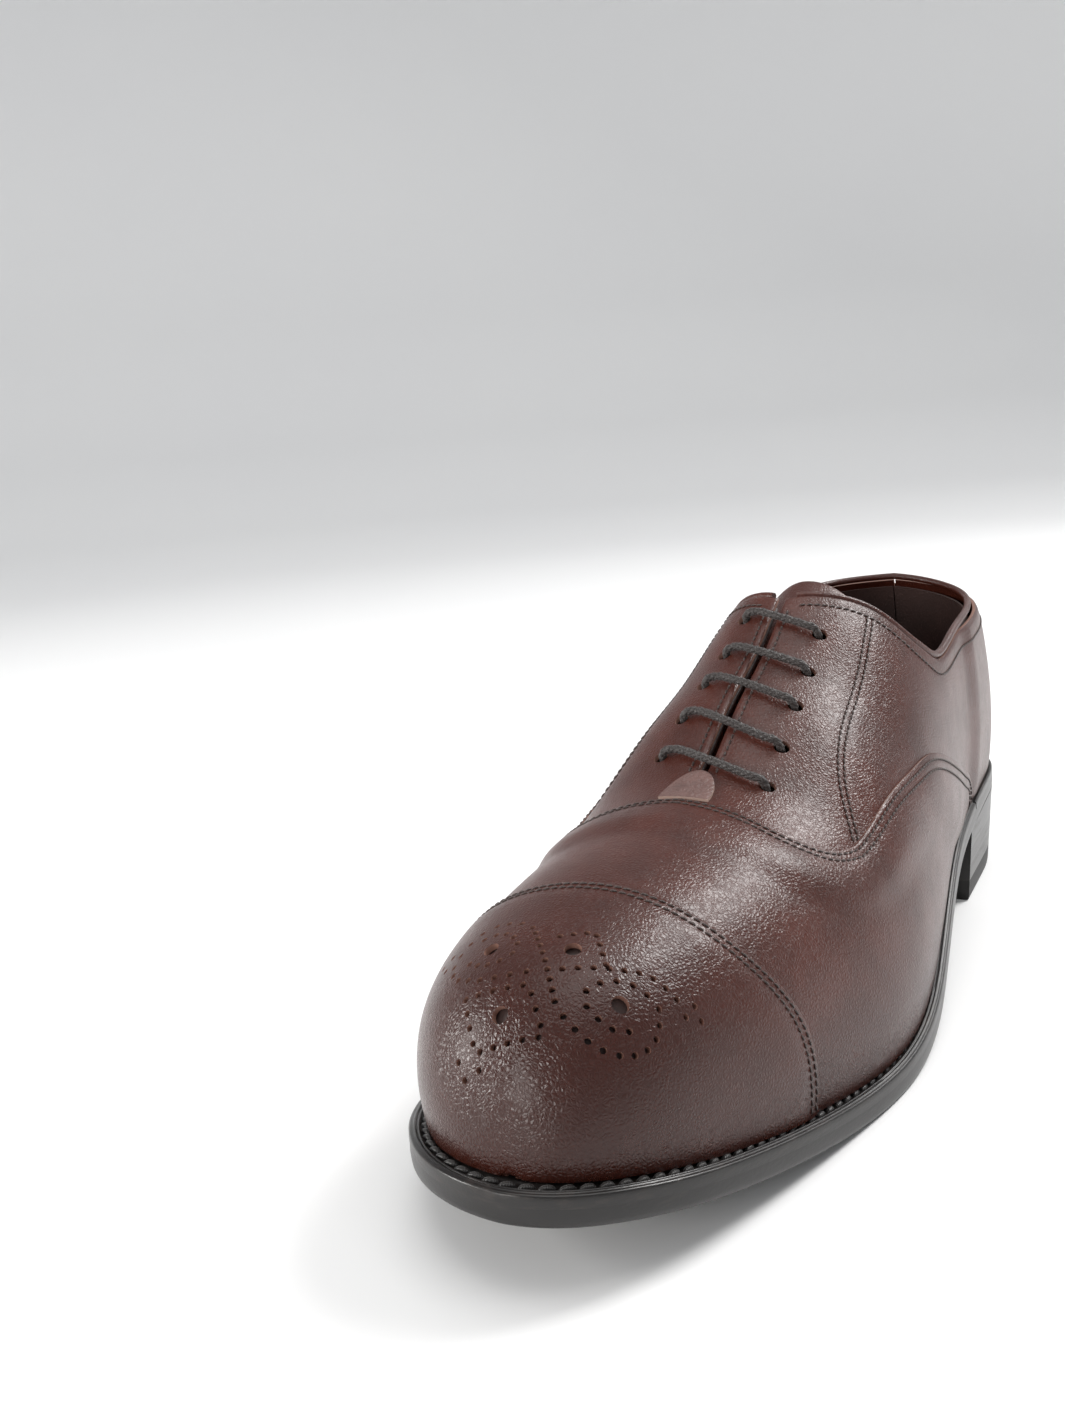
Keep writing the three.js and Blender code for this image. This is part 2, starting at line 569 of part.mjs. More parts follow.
function punched(geometry, sign, radius, from, to) {
  let solid = toSolid(geometry);
  for (const [x, w] of eyeletRows(sign)) solid = solid.subtract(toSolid(pegAt(place(x), sign * w, radius, from, to)));
  return fromSolid(solid);
}

for (const side of sides) {
  const flip = (rows) => (side.sign > 0 ? rows : mirrored(rows));
  const quarter = leather([flip(quarterRows(side, 8))]);
  addPiece(`quarter_${side.name}`, punched(quarter, side.sign, eyeletHoleRadius, 0.8, 6), 'calf');
  const lining = leather([flip(quarterLiningRows(side, 7))]);
  addPiece(`quarter_lining_${side.name}`, punched(lining, side.sign, eyeletTubeRadius + 0.8, -1, 1.4), 'lining');
}

const around = (reach, count) => steps(count, (t) => mix(-reach, reach, t));
addPiece('heel_counter', leather([around(counterEnd, 22).map((q) => steps(5, (v) => mix(counterTop, 1, v))
  .map((w) => ply(q, w, liningThickness + plyGap / 2, stiffenerThickness)))]), 'insole');

// The strip that covers the top of the back seam.
const stripLength = 17;
const stripHalfWidth = 7.5;
const backTop = wAlong(sides[0].topline)(0);
addPiece('back_strip', leather([around(stripHalfWidth, 6).map((q) => {
  const depth = (stripLength * (1 - 0.25 * (q / stripHalfWidth) ** 2)) / acrossLength;
  return steps(4, (v) => mix(backTop + 0.012, backTop + depth, v)).map((w) => ply(q, w,
    quarterLow(q, w) + upperThickness + gap, 1));
})]), 'calf');

// The tongue hangs from the throat, inside the laces.
const tongueTopX = 117;
const tongueLow = -6.7;
const tongueThickness = 1.6;
addPiece('tongue', leather([steps(12, (t) => {
  const s = mix(place(tongueTopX), place(throatX + 5), t);
  const reach = mix(0.31, 0.25, t) * Math.sqrt(1 - (1 - Math.min(1, t * 5 + 0.25)) ** 2);
  return steps(8, (v) => mix(-reach, reach, v)).map((w) => ply(s, w, tongueLow, tongueThickness));
})]), 'calf');

// A half-moon tab closes the foot of the facings.
const tabLength = 12.5;
const tabReach = 0.068;
addPiece('throat_tab', leather([steps(8, (t) => {
  const s = place(throatX) - 0.8 - tabLength * t;
  const reach = tabReach * Math.sqrt(1 - (t * 0.97) ** 2);
  return steps(6, (v) => mix(reach, -reach, v)).map((w) => ply(s, w,
    quarterLow(s, w) + upperThickness + plyGap, 1));
})]), 'calf');

// ---------------------------------------------------------------- edge binding and lace
// A round-sectioned solid along a smooth curve through points.
function cord(points, radius, count, faces = 8) {
  const curve = new THREE.CatmullRomCurve3(points, false, 'centripetal');
  let side = new THREE.Vector3(0, 0, 1);
  return skin(steps(count, (t) => {
    const centre = curve.getPoint(t);
    const along = curve.getTangent(t).normalize();
    side = side.clone().addScaledVector(along, -side.dot(along)).normalize();
    const over = along.clone().cross(side);
    return Array.from({ length: faces }, (_, i) => {
      const angle = (2 * Math.PI * i) / faces;
      return centre.clone().addScaledVector(side, radius * Math.cos(angle))
        .addScaledVector(over, radius * Math.sin(angle));
    });
  }));
}
const bindingRadius = 1.1;
function bindingPoints(side) {
  const edge = beside(side.topline, -bindingRadius - gap);
  return steps(40, (t) => {
    const [s, w] = edge(0.985 * t);
    return leatherPoint(s, side.sign * w, liningThickness + gap);
  });
}
const bindingRoute = [...bindingPoints(sides[0]).reverse(), ...bindingPoints(sides[1]).slice(1)];
addPiece('collar_binding', cord(bindingRoute, bindingRadius, 84, 6), 'calf');

// Blind eyelets grip the lining from inside.
for (const side of sides) {
  eyeletRows(side.sign).forEach(([x, reach], row) => {
    const s = place(x);
    const w = side.sign * reach;
    const barrel = toSolid(pegAt(s, w, eyeletTubeRadius + 0.5, -1.1, liningThickness));
    const flange = toSolid(pegAt(s, w, eyeletFlange, -1.4, -0.9));
    const bore = toSolid(pegAt(s, w, eyeletHoleRadius, -3, 3));
    addPiece(`eyelet_${side.name}_${row + 1}`, fromSolid(barrel.add(flange).subtract(bore)), 'brass');
  });
}

// The lace: one cord, laid in straight bars, its ends tucked inside. Each point is
// [x, w, offset]; rows count up from the throat.
const inside = -2.9;
const onTop = liningThickness + plyGap + upperThickness + gap + laceRadius;
const eyeletAt = (row, sign) => eyeletRows(sign)[row - 1];
const hole = (row, sign, outwards) => {
  const [x, w] = eyeletAt(row, sign);
  const rise = [[0, inside], [0, 0.2], [0.004, 2.4], [0.02, onTop], [0.05, onTop + 0.2]];
  const points = rise.map(([inwards, offset]) => [x, sign * (w - inwards), offset]);
  return outwards ? points : points.reverse();
};
const bar = (row, sign) => {
  const middle = (eyeletAt(row, 1)[0] + eyeletAt(row, -1)[0]) / 2;
  return [...hole(row, sign, true), [middle, 0, onTop + 0.2], ...hole(row, -sign, false)];
};
// Inside the shoe the lace runs past an eyelet, nearer the ridge (aside < 0) or further off.
const detour = (from, past, to, sign, aside) => {
  const [x, reach] = eyeletAt(past, sign);
  const w = sign * (reach + aside);
  const halfway = (row) => {
    const [rowX, rowW] = eyeletAt(row, sign);
    return [mix(rowX, x, 0.5), mix(sign * rowW, w, 0.6), inside];
  };
  return [halfway(from), [x, w, inside], halfway(to)];
};
const topX = (sign) => eyeletAt(5, sign)[0];
const laceStops = [
  [topX(-1) - 3, -0.06, inside - 0.3], [topX(-1) + 2, -0.055, inside], [topX(-1) + 6, -0.075, inside],
  ...bar(4, -1), ...detour(4, 3, 2, 1, -0.05), ...bar(2, 1), ...bar(1, -1),
  ...detour(1, 2, 3, 1, 0.05), ...bar(3, 1), ...detour(3, 4, 5, -1, 0.05), ...bar(5, -1),
  [topX(1) - 7, 0.19, inside], [topX(1) - 11, 0.24, inside],
];
const laceRoute = laceStops.map(([x, w, offset]) => leatherPoint(place(x), w, offset));
addPiece('lace', cord(laceRoute, laceRadius, 128, 6), 'cord');

// The origin is the middle of the shoe's box, on the ground.
const box = new THREE.Box3().setFromObject(shoe);
const middle = box.getCenter(new THREE.Vector3());
for (const mesh of shoe.children) mesh.position.set(-middle.x, -middle.y, 0);

export default shoe;
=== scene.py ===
"""A left-foot cap-toe oxford: fine leathers, seams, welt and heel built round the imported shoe."""

import math

import bmesh
import bpy
import numpy as np
from mathutils import Matrix, Vector
from mathutils.geometry import delaunay_2d_cdt


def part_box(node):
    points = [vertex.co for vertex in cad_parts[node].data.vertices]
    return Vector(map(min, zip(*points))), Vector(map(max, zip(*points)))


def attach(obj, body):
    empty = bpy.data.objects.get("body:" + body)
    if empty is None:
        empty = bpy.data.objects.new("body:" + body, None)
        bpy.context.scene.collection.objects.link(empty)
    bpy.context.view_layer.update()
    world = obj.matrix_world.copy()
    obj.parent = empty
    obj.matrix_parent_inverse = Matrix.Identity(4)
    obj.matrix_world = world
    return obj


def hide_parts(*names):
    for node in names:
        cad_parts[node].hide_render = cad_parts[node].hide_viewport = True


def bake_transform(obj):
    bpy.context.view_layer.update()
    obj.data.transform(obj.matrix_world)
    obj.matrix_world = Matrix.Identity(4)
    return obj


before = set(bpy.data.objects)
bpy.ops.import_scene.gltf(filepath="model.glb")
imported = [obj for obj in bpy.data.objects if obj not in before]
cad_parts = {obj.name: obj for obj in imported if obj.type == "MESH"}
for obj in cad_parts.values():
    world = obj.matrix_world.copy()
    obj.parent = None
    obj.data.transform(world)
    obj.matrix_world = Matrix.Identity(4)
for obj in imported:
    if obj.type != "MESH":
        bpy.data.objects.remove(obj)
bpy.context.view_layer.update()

bl_info = {
    "name": "Cap-toe Oxford",
    "version": (1, 0, 0),
    "blender": (4, 5, 0),
    "location": "View3D > Sidebar > Shoe",
    "description": "Builds the leathers, seams, sole edges and lace of a cap-toe oxford shoe",
    "category": "Object",
}

# ------------------------------------------------------------------ the last, in millimetres
MM = 0.001
LAST_LENGTH = 290.6
HEEL_HALF_WIDTH = 31.8
LATERAL_WAIST, MEDIAL_WAIST = 29.4, 22.3
LATERAL_BALL, MEDIAL_BALL = 44.6, 40.4
TOE_SWING = 5
SEAT_HEIGHT = 33.8
TOE_SPRING = 13.8
CONE_HEIGHT, INSTEP_HEIGHT, TOE_HEIGHT = 116, 88, 41.3
OUTSOLE_THICKNESS, WELT_THICKNESS, INSOLE_THICKNESS, SOCK_THICKNESS = 4, 2.3, 3, 0.9
UPPER_THICKNESS, LINING_THICKNESS, STIFFENER_THICKNESS = 1.3, 1, 1.3
TOP_PIECE_THICKNESS, LIFT_THICKNESS = 6.4, 5
HEEL_LENGTH, HEEL_TAPER = 76, 3
WELT_HEEL_MARGIN, WELT_WAIST_MARGIN, WELT_BALL_MARGIN, WELT_TOE_MARGIN = 5.6, 4.6, 5.5, 9.8
GAP = 0.3
PLY_GAP = 0.6
LINING_EASE = 0.25
SEAM_LAP = 9
FACING_ROW_INSET = 2.1
EYELET_COUNT = 5
ACROSS_LENGTH = 96

HEEL_CENTRE = 34
FAN_END = 26
SQUARE_FROM = 84
TURN_LENGTH = FAN_END + (SQUARE_FROM - FAN_END) / 2
TOE_START = LAST_LENGTH - 64
TOE_STATION = TOE_START - HEEL_CENTRE + TURN_LENGTH
TIP_STATION = TOE_STATION + (LAST_LENGTH - TOE_START) * math.pi / 2

# The shank is a plain bar that starts at x 58 and reaches from y -6 in the last's own frame.
SHANK_START = (58, -6)
SHIFT = np.array([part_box("shank")[0].x / MM - SHANK_START[0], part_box("shank")[0].y / MM - SHANK_START[1], 0])


def in_frame(points):
    """Millimetres in the last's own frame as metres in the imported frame."""
    return (np.asarray(points, float) + SHIFT) * MM


def mix(a, b, t):
    return a + (b - a) * t


def smooth(t):
    c = np.clip(t, 0, 1)
    return c * c * (3 - 2 * c)


def unit(vectors):
    return vectors / np.maximum(np.linalg.norm(vectors, axis=-1, keepdims=True), 1e-9)


def resampled(line, marks):
    """The points of a line at fractional indices."""
    return np.stack([np.interp(marks, np.arange(len(line)), line[:, k]) for k in range(line.shape[1])], 1)


def level(value):
    """The same offset or height everywhere."""
    return lambda s, w=None: np.full(np.shape(s), float(value))


class Spline:
    """Natural cubic spline through (position, value) pairs, straight beyond both ends."""

    def __init__(self, pairs):
        self.x, self.y = (np.array(column, float) for column in zip(*pairs))
        count = len(self.x)
        h = np.diff(self.x)
        slope = np.diff(self.y) / h
        system = np.eye(count)
        bend = np.zeros(count)
        for i in range(1, count - 1):
            system[i, i - 1 : i + 2] = h[i - 1], 2 * (h[i - 1] + h[i]), h[i]
            bend[i] = 6 * (slope[i] - slope[i - 1])
        self.second = np.linalg.solve(system, bend)

    def __call__(self, value):
        value = np.asarray(value, float)
        inside = np.clip(value, self.x[0], self.x[-1])
        k = np.clip(np.searchsorted(self.x, inside) - 1, 0, len(self.x) - 2)
        h = self.x[k + 1] - self.x[k]
        a = (self.x[k + 1] - inside) / h
        b = 1 - a
        m0, m1 = self.second[k], self.second[k + 1]
        curve = a * self.y[k] + b * self.y[k + 1] + ((a**3 - a) * m0 + (b**3 - b) * m1) * h * h / 6
        slope = (self.y[k + 1] - self.y[k]) / h + ((1 - 3 * a * a) * m0 + (3 * b * b - 1) * m1) * h / 6
        return curve + slope * (value - inside)


def turned(s):
    t = np.clip((s - FAN_END) / (SQUARE_FROM - FAN_END), 0, 1)
    return np.where(s < FAN_END, s, FAN_END + (SQUARE_FROM - FAN_END) * (t - t**3 + t**4 / 2))


def fan_angle(s):
    return math.pi / 2 * turned(s) / TURN_LENGTH


def centre_x(s):
    angle = (s - TOE_STATION) / (TIP_STATION - TOE_STATION) * math.pi / 2
    front = TOE_START + (LAST_LENGTH - TOE_START) * np.sin(angle)
    return np.where(s <= TOE_STATION, HEEL_CENTRE + s - turned(s), front)


def station(x):
    x = np.asarray(x, float)
    reach = np.clip((x - TOE_START) / (LAST_LENGTH - TOE_START), 0, 1)
    front = TOE_STATION + (LAST_LENGTH - TOE_START) * np.arcsin(reach)
    return np.where(x <= TOE_START, x - HEEL_CENTRE + TURN_LENGTH, front)


def place(x):
    """The station of a place written for a 292 mm last."""
    return station(np.asarray(x, float) * LAST_LENGTH / 292)


def along(early, places, tip=None):
    """A spline from values at heel stations, then at places, then at the tip."""
    pairs = list(early) + [(float(place(x)), value) for x, value in places]
    return Spline(pairs + ([] if tip is None else [(TIP_STATION, tip)]))


lateral_half = along(
    [(0, HEEL_HALF_WIDTH), (28, HEEL_HALF_WIDTH - 1.2), (52, HEEL_HALF_WIDTH - 2)],
    [(62, LATERAL_WAIST + 0.4), (90, mix(LATERAL_WAIST, LATERAL_BALL, 0.12)),
     (120, mix(LATERAL_WAIST, LATERAL_BALL, 0.4)), (150, mix(LATERAL_WAIST, LATERAL_BALL, 0.74)),
     (178, LATERAL_BALL), (200, LATERAL_BALL - 0.4), (218, LATERAL_BALL * 0.91), (236, LATERAL_BALL * 0.8),
     (262, LATERAL_BALL * 0.605), (279, LATERAL_BALL * 0.43), (288, LATERAL_BALL * 0.25)], 0)
medial_half = along(
    [(0, HEEL_HALF_WIDTH), (28, HEEL_HALF_WIDTH - 1.6), (52, HEEL_HALF_WIDTH - 3)],
    [(62, mix(MEDIAL_WAIST, HEEL_HALF_WIDTH, 0.5)), (90, MEDIAL_WAIST + 2.2), (118, MEDIAL_WAIST),
     (142, MEDIAL_WAIST + 1), (165, mix(MEDIAL_WAIST, MEDIAL_BALL, 0.36)),
     (188, mix(MEDIAL_WAIST, MEDIAL_BALL, 0.8)), (210, MEDIAL_BALL), (232, MEDIAL_BALL * 0.965),
     (262, MEDIAL_BALL * 0.795), (279, MEDIAL_BALL * 0.56), (288, MEDIAL_BALL * 0.33)], 0)
centre_swing = along([(0, 0)], [(120, 0.4), (200, -TOE_SWING), (250, -TOE_SWING - 1.4)], -TOE_SWING - 0.6)
SOLE_STACK = OUTSOLE_THICKNESS + WELT_THICKNESS + 2 * GAP
SEAT_POINTS = [
    (-10, SEAT_HEIGHT), (0, SEAT_HEIGHT), (40, SEAT_HEIGHT - 0.9), (75, SEAT_HEIGHT - 4.2),
    (110, mix(SOLE_STACK, SEAT_HEIGHT, 0.58)), (150, mix(SOLE_STACK, SEAT_HEIGHT, 0.225)),
    (185, SOLE_STACK + 0.7), (205, SOLE_STACK + 0.05), (218, SOLE_STACK + 0.6),
    (240, SOLE_STACK + TOE_SPRING * 0.24), (270, SOLE_STACK + TOE_SPRING * 0.65),
    (292, SOLE_STACK + TOE_SPRING), (304, SOLE_STACK + TOE_SPRING * 1.12)]
seat_along = Spline([(x * LAST_LENGTH / 292, z) for x, z in SEAT_POINTS])
ridge_height = along(
    [(0, CONE_HEIGHT), (50, CONE_HEIGHT - 2)],
    [(75, CONE_HEIGHT - 8), (110, INSTEP_HEIGHT + 5), (135, INSTEP_HEIGHT - 2), (150, INSTEP_HEIGHT - 9),
     (170, TOE_HEIGHT + 30.5), (190, TOE_HEIGHT + 20.1), (210, TOE_HEIGHT + 15.1), (232, TOE_HEIGHT + 10.8),
     (262, TOE_HEIGHT), (279, TOE_HEIGHT * 0.745), (288, TOE_HEIGHT * 0.42)], 0)
side_rise = along([(0, 0.42), (50, 0.42)], [(90, 0.42), (135, 0.45), (190, 0.52), (232, 0.57)], 0.6)
lateral_crown = along([(0, 0.3), (50, 0.4)],
                      [(90, 0.78), (120, 0.78), (150, 0.74), (190, 0.74), (232, 0.76), (262, 0.73)], 0.66)
medial_crown = along([(0, 0.3), (50, 0.45)],
                     [(90, 0.86), (120, 1.06), (150, 1.19), (170, 1.06), (190, 0.86), (232, 0.67),
                      (262, 0.72)], 0.66)
lateral_lean = along([(0, 5), (50, 6.8)], [(90, 7.8), (130, 5.6), (190, 5), (250, 5)], 3)
medial_lean = along([(0, 5), (50, 5.2)], [(90, 6.4), (130, 11), (165, 11.4), (210, 5.2), (250, 6.2)], 3)


def last_point(station_, w_):
    """Points of the last: w is 0 on the ridge, 1 on the lateral feather line, -1 on the medial one."""
    station_, w_ = np.broadcast_arrays(np.asarray(station_, float), np.asarray(w_, float))
    s = np.abs(station_)
    w = np.where(station_ < 0, -w_, w_)
    lateral = w >= 0
    side = np.where(lateral, 1, -1)
    t = 1 - np.abs(w)
    half = np.where(lateral, lateral_half(s), medial_half(s))
    lean = np.where(lateral, lateral_lean(s), medial_lean(s))
    crown = np.where(lateral, lateral_crown(s), medial_crown(s))
    height = ridge_height(s)
    angle = fan_angle(s)
    x = centre_x(s)
    low = 3 * (1 - t) ** 2 * t
    high = 3 * (1 - t) * t**2
    reach = (1 - t) ** 3 * half + low * (half + lean) + high * half * crown
    rise = low * height * side_rise(s) + high * height + t**3 * height
    seat = seat_along(x - np.cos(angle) * half)
    y = centre_swing(s) + side * np.sin(angle) * reach
    return np.stack([x - np.cos(angle) * reach, y, seat + rise], -1)


def slopes(s, w):
    """How a point of the last moves with the station and with w."""
    ds, dw = 0.2, 0.002
    s = np.minimum(s, TIP_STATION - ds)
    over, under = np.clip(w + dw, -1, 1), np.clip(w - dw, -1, 1)
    by_station = (last_point(s + ds, w) - last_point(s - ds, w)) / (2 * ds)
    by_w = (last_point(s, over) - last_point(s, under)) / (over - under)[..., None]
    return by_station, by_w


def outward(s, w):
    by_station, by_w = slopes(s, w)
    return unit(np.cross(by_station, by_w))


def leather_point(s, w, offset):
    """The last's surface moved out by an offset, never below the seat."""
    s, w, offset = np.broadcast_arrays(*(np.asarray(v, float) for v in (s, w, offset)))
    point = last_point(s, w) + outward(s, w) * offset[..., None]
    point[..., 2] = np.maximum(point[..., 2], seat_along(point[..., 0]))
    return point


def walk(s, w, ahead, aside, steps=10):
    """(s, w) of the points reached by walking over the last: ahead to the toe, aside to the lateral side."""
    ahead, aside = np.broadcast_arrays(np.asarray(ahead, float), np.asarray(aside, float))
    s, w = np.full(ahead.shape, float(s)), np.full(ahead.shape, float(w))
    by_station, _ = slopes(s, w)
    front = unit(by_station)
    lateral = np.cross(outward(s, w), front)
    way = front * ahead[..., None] + lateral * aside[..., None]
    length = np.linalg.norm(way, axis=-1, keepdims=True)
    for _ in range(steps):
        normal = outward(s, w)
        way = way - normal * np.sum(way * normal, -1, keepdims=True)
        way = unit(way) * length
        a, b = slopes(s, w)
        aa, ab, bb = (np.sum(p * q, -1) for p, q in ((a, a), (a, b), (b, b)))
        wa, wb = np.sum(way * a, -1), np.sum(way * b, -1)
        det = aa * bb - ab * ab
        s = s + (wa * bb - wb * ab) / det / steps
        w = w + (wb * aa - wa * ab) / det / steps
    return s, w


# ------------------------------------------------------------------ seams, as [station, w]
def seam(points):
    rank = range(len(points))
    forward = Spline([(i, p[0]) for i, p in zip(rank, points)])
    over = Spline([(i, p[1]) for i, p in zip(rank, points)])

    def curve(u):
        u = np.asarray(u, float) * (len(points) - 1)
        return np.stack([place(forward(u)), over(u)], -1)

    return curve


def beside(curve, distance):
    """The curve moved sideways over the leather, in mm, away from the ridge when positive."""

    def moved(u):
        u = np.asarray(u, float)
        step = curve(np.clip(u + 0.01, 0, 1)) - curve(np.clip(u - 0.01, 0, 1))
        ds, dw = step[..., 0], step[..., 1] * ACROSS_LENGTH
        length = np.hypot(ds, dw)
        here = curve(u)
        return np.stack([here[..., 0] - dw / length * distance,
                         here[..., 1] + ds / length * distance / ACROSS_LENGTH], -1)

    return moved


def line_of(curve, count=160, start=0.0, end=1.0):
    return curve(np.linspace(start, end, count + 1))


def w_along(curve, start=0.0, end=1.0):
    line = line_of(curve, 240, start, end)
    growing = np.maximum.accumulate(line[:, 0])
    return lambda s: np.interp(s, growing, line[:, 1])


def in_plane(points):
    """(s, w) as millimetres in a flat plane, near enough for spacing and distances."""
    return np.asarray(points, float) * (1, ACROSS_LENGTH)


def distance_to(lines, points):
    """Distance in the plane from points to the nearest of some open or closed lines."""
    points = in_plane(points)
    best = np.full(len(points), 1e9)
    for line in lines:
        line = in_plane(line)
        a, d = line[:-1], np.diff(line, axis=0)
        length2 = np.maximum((d * d).sum(1), 1e-12)
        for first in range(0, len(points), 4000):
            p = points[first : first + 4000, None]
            t = np.clip(((p - a) * d).sum(2) / length2, 0, 1)
            gap = np.linalg.norm(p - a - t[..., None] * d, axis=2).min(1)
            best[first : first + 4000] = np.minimum(best[first : first + 4000], gap)
    return best


def inside(loop, points):
    """Which points lie inside a closed loop, by counting crossings."""
    loop, points = np.asarray(loop, float), np.asarray(points, float)
    a, b = loop, np.roll(loop, -1, axis=0)
    found = np.zeros(len(points), bool)
    for (x0, y0), (x1, y1) in zip(a, b):
        if y0 == y1:
            continue
        crosses = (y0 > points[:, 1]) != (y1 > points[:, 1])
        found ^= crosses & (points[:, 0] < (x1 - x0) * (points[:, 1] - y0) / (y1 - y0) + x0)
    return found


TAIL_X, THROAT_X = 67, 203.6
CORNER_X, CORNER_W = 191, 0.445
CAP_X = (247.8, 247.3, 243.5, 236, 233)
FACING_TOP_X = 134
FACING_GAP = 0.012
BACK_GAP = 0.22
TOE_END = TIP_STATION - 1.2
wing = seam([(TAIL_X, 1), (71, 0.93), (85, 0.868), (104, 0.775), (125, 0.66), (143, 0.572), (164, 0.503),
             (CORNER_X - 12, 0.469), (CORNER_X, CORNER_W)])
throat = seam([(CORNER_X, CORNER_W), (199.5, 0.395), (204.8, 0.31), (THROAT_X + 2.2, 0.2), (THROAT_X, 0)])
cap_spline = Spline(list(zip(np.linspace(0, 1, len(CAP_X)), CAP_X)))


def whole_seam(u):
    u = np.asarray(u, float)
    back, front = wing(np.minimum(u / 0.7, 1)), throat(np.maximum((u - 0.7) / 0.3, 0))
    return np.where((u < 0.7)[..., None], back, front)


def cap_seam(w):
    return place(cap_spline(np.abs(w)))


def cap_line(u):
    w = mix(-1, 1, np.asarray(u, float))
    return np.stack([cap_seam(w), w], -1)


def topline_of(raise_):
    return seam([(-21, 0.62), (-3, 0.63 - raise_ * 0.3), (32, 0.65 - raise_), (58, 0.64 - raise_),
                 (78, 0.612 - raise_), (99, 0.562 - raise_ * 0.6), (110, 0.49), (118, 0.4), (124, 0.285),
                 (128.3, 0.19), (131.3, 0.11), (134, 0.02)])


SIDES = [("lateral", 1, topline_of(0)), ("medial", -1, topline_of(0.03))]
SEAM_LINE = line_of(whole_seam, 120)
COUNTER_END, COUNTER_TOP = 80, 0.69


def counter_lift(s, w):
    return ((STIFFENER_THICKNESS + PLY_GAP) * smooth((COUNTER_END + 14 - np.abs(s)) / 13)
            * smooth((np.abs(w) - (COUNTER_TOP - 0.1)) / 0.09))


def quarter_low(s, w):
    return LINING_THICKNESS + PLY_GAP + counter_lift(s, w)


def lining_seam(w):
    return mix(place(THROAT_X + 3), place(160), np.abs(w))


def top_edge(topline):
    top = w_along(topline)
    facing_top = place(FACING_TOP_X)
    return lambda s: np.where(s >= facing_top, FACING_GAP, np.maximum(FACING_GAP, top(s)))


# ------------------------------------------------------------------ meshes
def add_mesh(name, points, faces, materials, face_material=None, sharp=50):
    """A named, smooth-shaded mesh object, from points in the last's own frame."""
    mesh = bpy.data.meshes.new(name)
    mesh.from_pydata(in_frame(points).tolist(), [], [tuple(map(int, f)) for f in faces])
    for material in materials:
        mesh.materials.append(material)
    if face_material is not None:
        mesh.polygons.foreach_set("material_index", np.asarray(face_material, np.int32))
    body = bmesh.new()
    body.from_mesh(mesh)
    bmesh.ops.remove_doubles(body, verts=body.verts, dist=1e-6)
    bmesh.ops.dissolve_degenerate(body, edges=body.edges, dist=1e-7)
    bmesh.ops.recalc_face_normals(body, faces=body.faces)
    body.to_mesh(mesh)
    body.free()
    mesh.polygons.foreach_set("use_smooth", np.ones(len(mesh.polygons), bool))
    mesh.set_sharp_from_angle(angle=math.radians(sharp))
    piece = bpy.data.objects.new(name, mesh)
    bpy.context.scene.collection.objects.link(piece)
    return piece


def grid_faces(rows, columns, close_rows=False, close_columns=False):
    faces = []
    for i in range(rows if close_rows else rows - 1):
        for j in range(columns if close_columns else columns - 1):
            a, b = i * columns + j, i * columns + (j + 1) % columns
            c, d = ((i + 1) % rows) * columns + (j + 1) % columns, ((i + 1) % rows) * columns + j
            faces.append((a, b, c, d))
    return faces


def loft(sections, closed=False):
    """Points and faces of a solid skinned over closed sections of equal size."""
    count, size = sections.shape[:2]
    faces = grid_faces(count, size, closed, True)
    if not closed:
        faces.append(tuple(range(size))[::-1])
        faces.append(tuple((count - 1) * size + j for j in range(size)))
    return sections.reshape(-1, 3), faces


def cut_sheet(outline, step, holes=(), rows=()):
    """Triangles of a flat pattern: its outline, its holes, and rows of points that its shape needs."""
    outline = np.asarray(outline, float)
    closed = np.vstack([outline, outline[:1]])
    low, high = outline.min(0), outline.max(0)
    s_line = np.arange(low[0], high[0], step)
    w_line = np.arange(low[1], high[1], step / ACROSS_LENGTH)
    lattice = np.stack(np.meshgrid(s_line, w_line, indexing="ij"), -1).reshape(-1, 2)
    flat = in_plane(outline)
    forward = unit(np.roll(flat, -1, 0) - np.roll(flat, 1, 0))
    turn = np.sign(np.sum(flat[:, 0] * np.roll(flat[:, 1], -1) - np.roll(flat[:, 0], -1) * flat[:, 1]))
    inwards = np.stack([-forward[:, 1], forward[:, 0]], 1) * turn
    borders = [(flat + inwards * d) / (1, ACROSS_LENGTH) for d in (0.3, 0.9)]
    solid_lines = [closed, *(np.vstack([h, h[:1]]) for h in holes)]
    kept = [p[distance_to([closed], p) > d * 0.93] for p, d in zip(borders, (0.3, 0.9))]
    guides = [np.asarray(r, float) for r in rows]
    guides = [g[distance_to(solid_lines, g) > 1.0] for g in guides]
    fill = lattice[distance_to([*solid_lines, *[b for b in kept if len(b) > 1]], lattice) > step * 0.55]
    if guides:
        near = np.vstack(guides)
        far = np.ones(len(fill), bool)
        for g in range(0, len(near), 400):
            gap = np.linalg.norm(in_plane(fill)[:, None] - in_plane(near[g : g + 400])[None], axis=2).min(1)
            far &= gap > step * 0.55
        fill = fill[far]
    loose = np.vstack([*kept, *guides, fill])
    loose = loose[inside(outline, loose)]
    for hole in holes:
        loose = loose[~inside(hole, loose)]
    chosen = np.vstack([outline, *holes, loose])
    edges, first = [], 0
    for ring in (outline, *holes):
        edges += [(first + i, first + (i + 1) % len(ring)) for i in range(len(ring))]
        first += len(ring)
    verts, _, faces, *_ = delaunay_2d_cdt([Vector(p) for p in in_plane(chosen)], edges, [], 0, 1e-5)
    points = np.array([tuple(v) for v in verts]) / (1, ACROSS_LENGTH)
    faces = np.array([f for f in faces if len(f) == 3])
    centres = points[faces].mean(1)
    keep = inside(outline, centres)
    for hole in holes:
        keep &= ~inside(hole, centres)
    return points, faces[keep], solid_lines


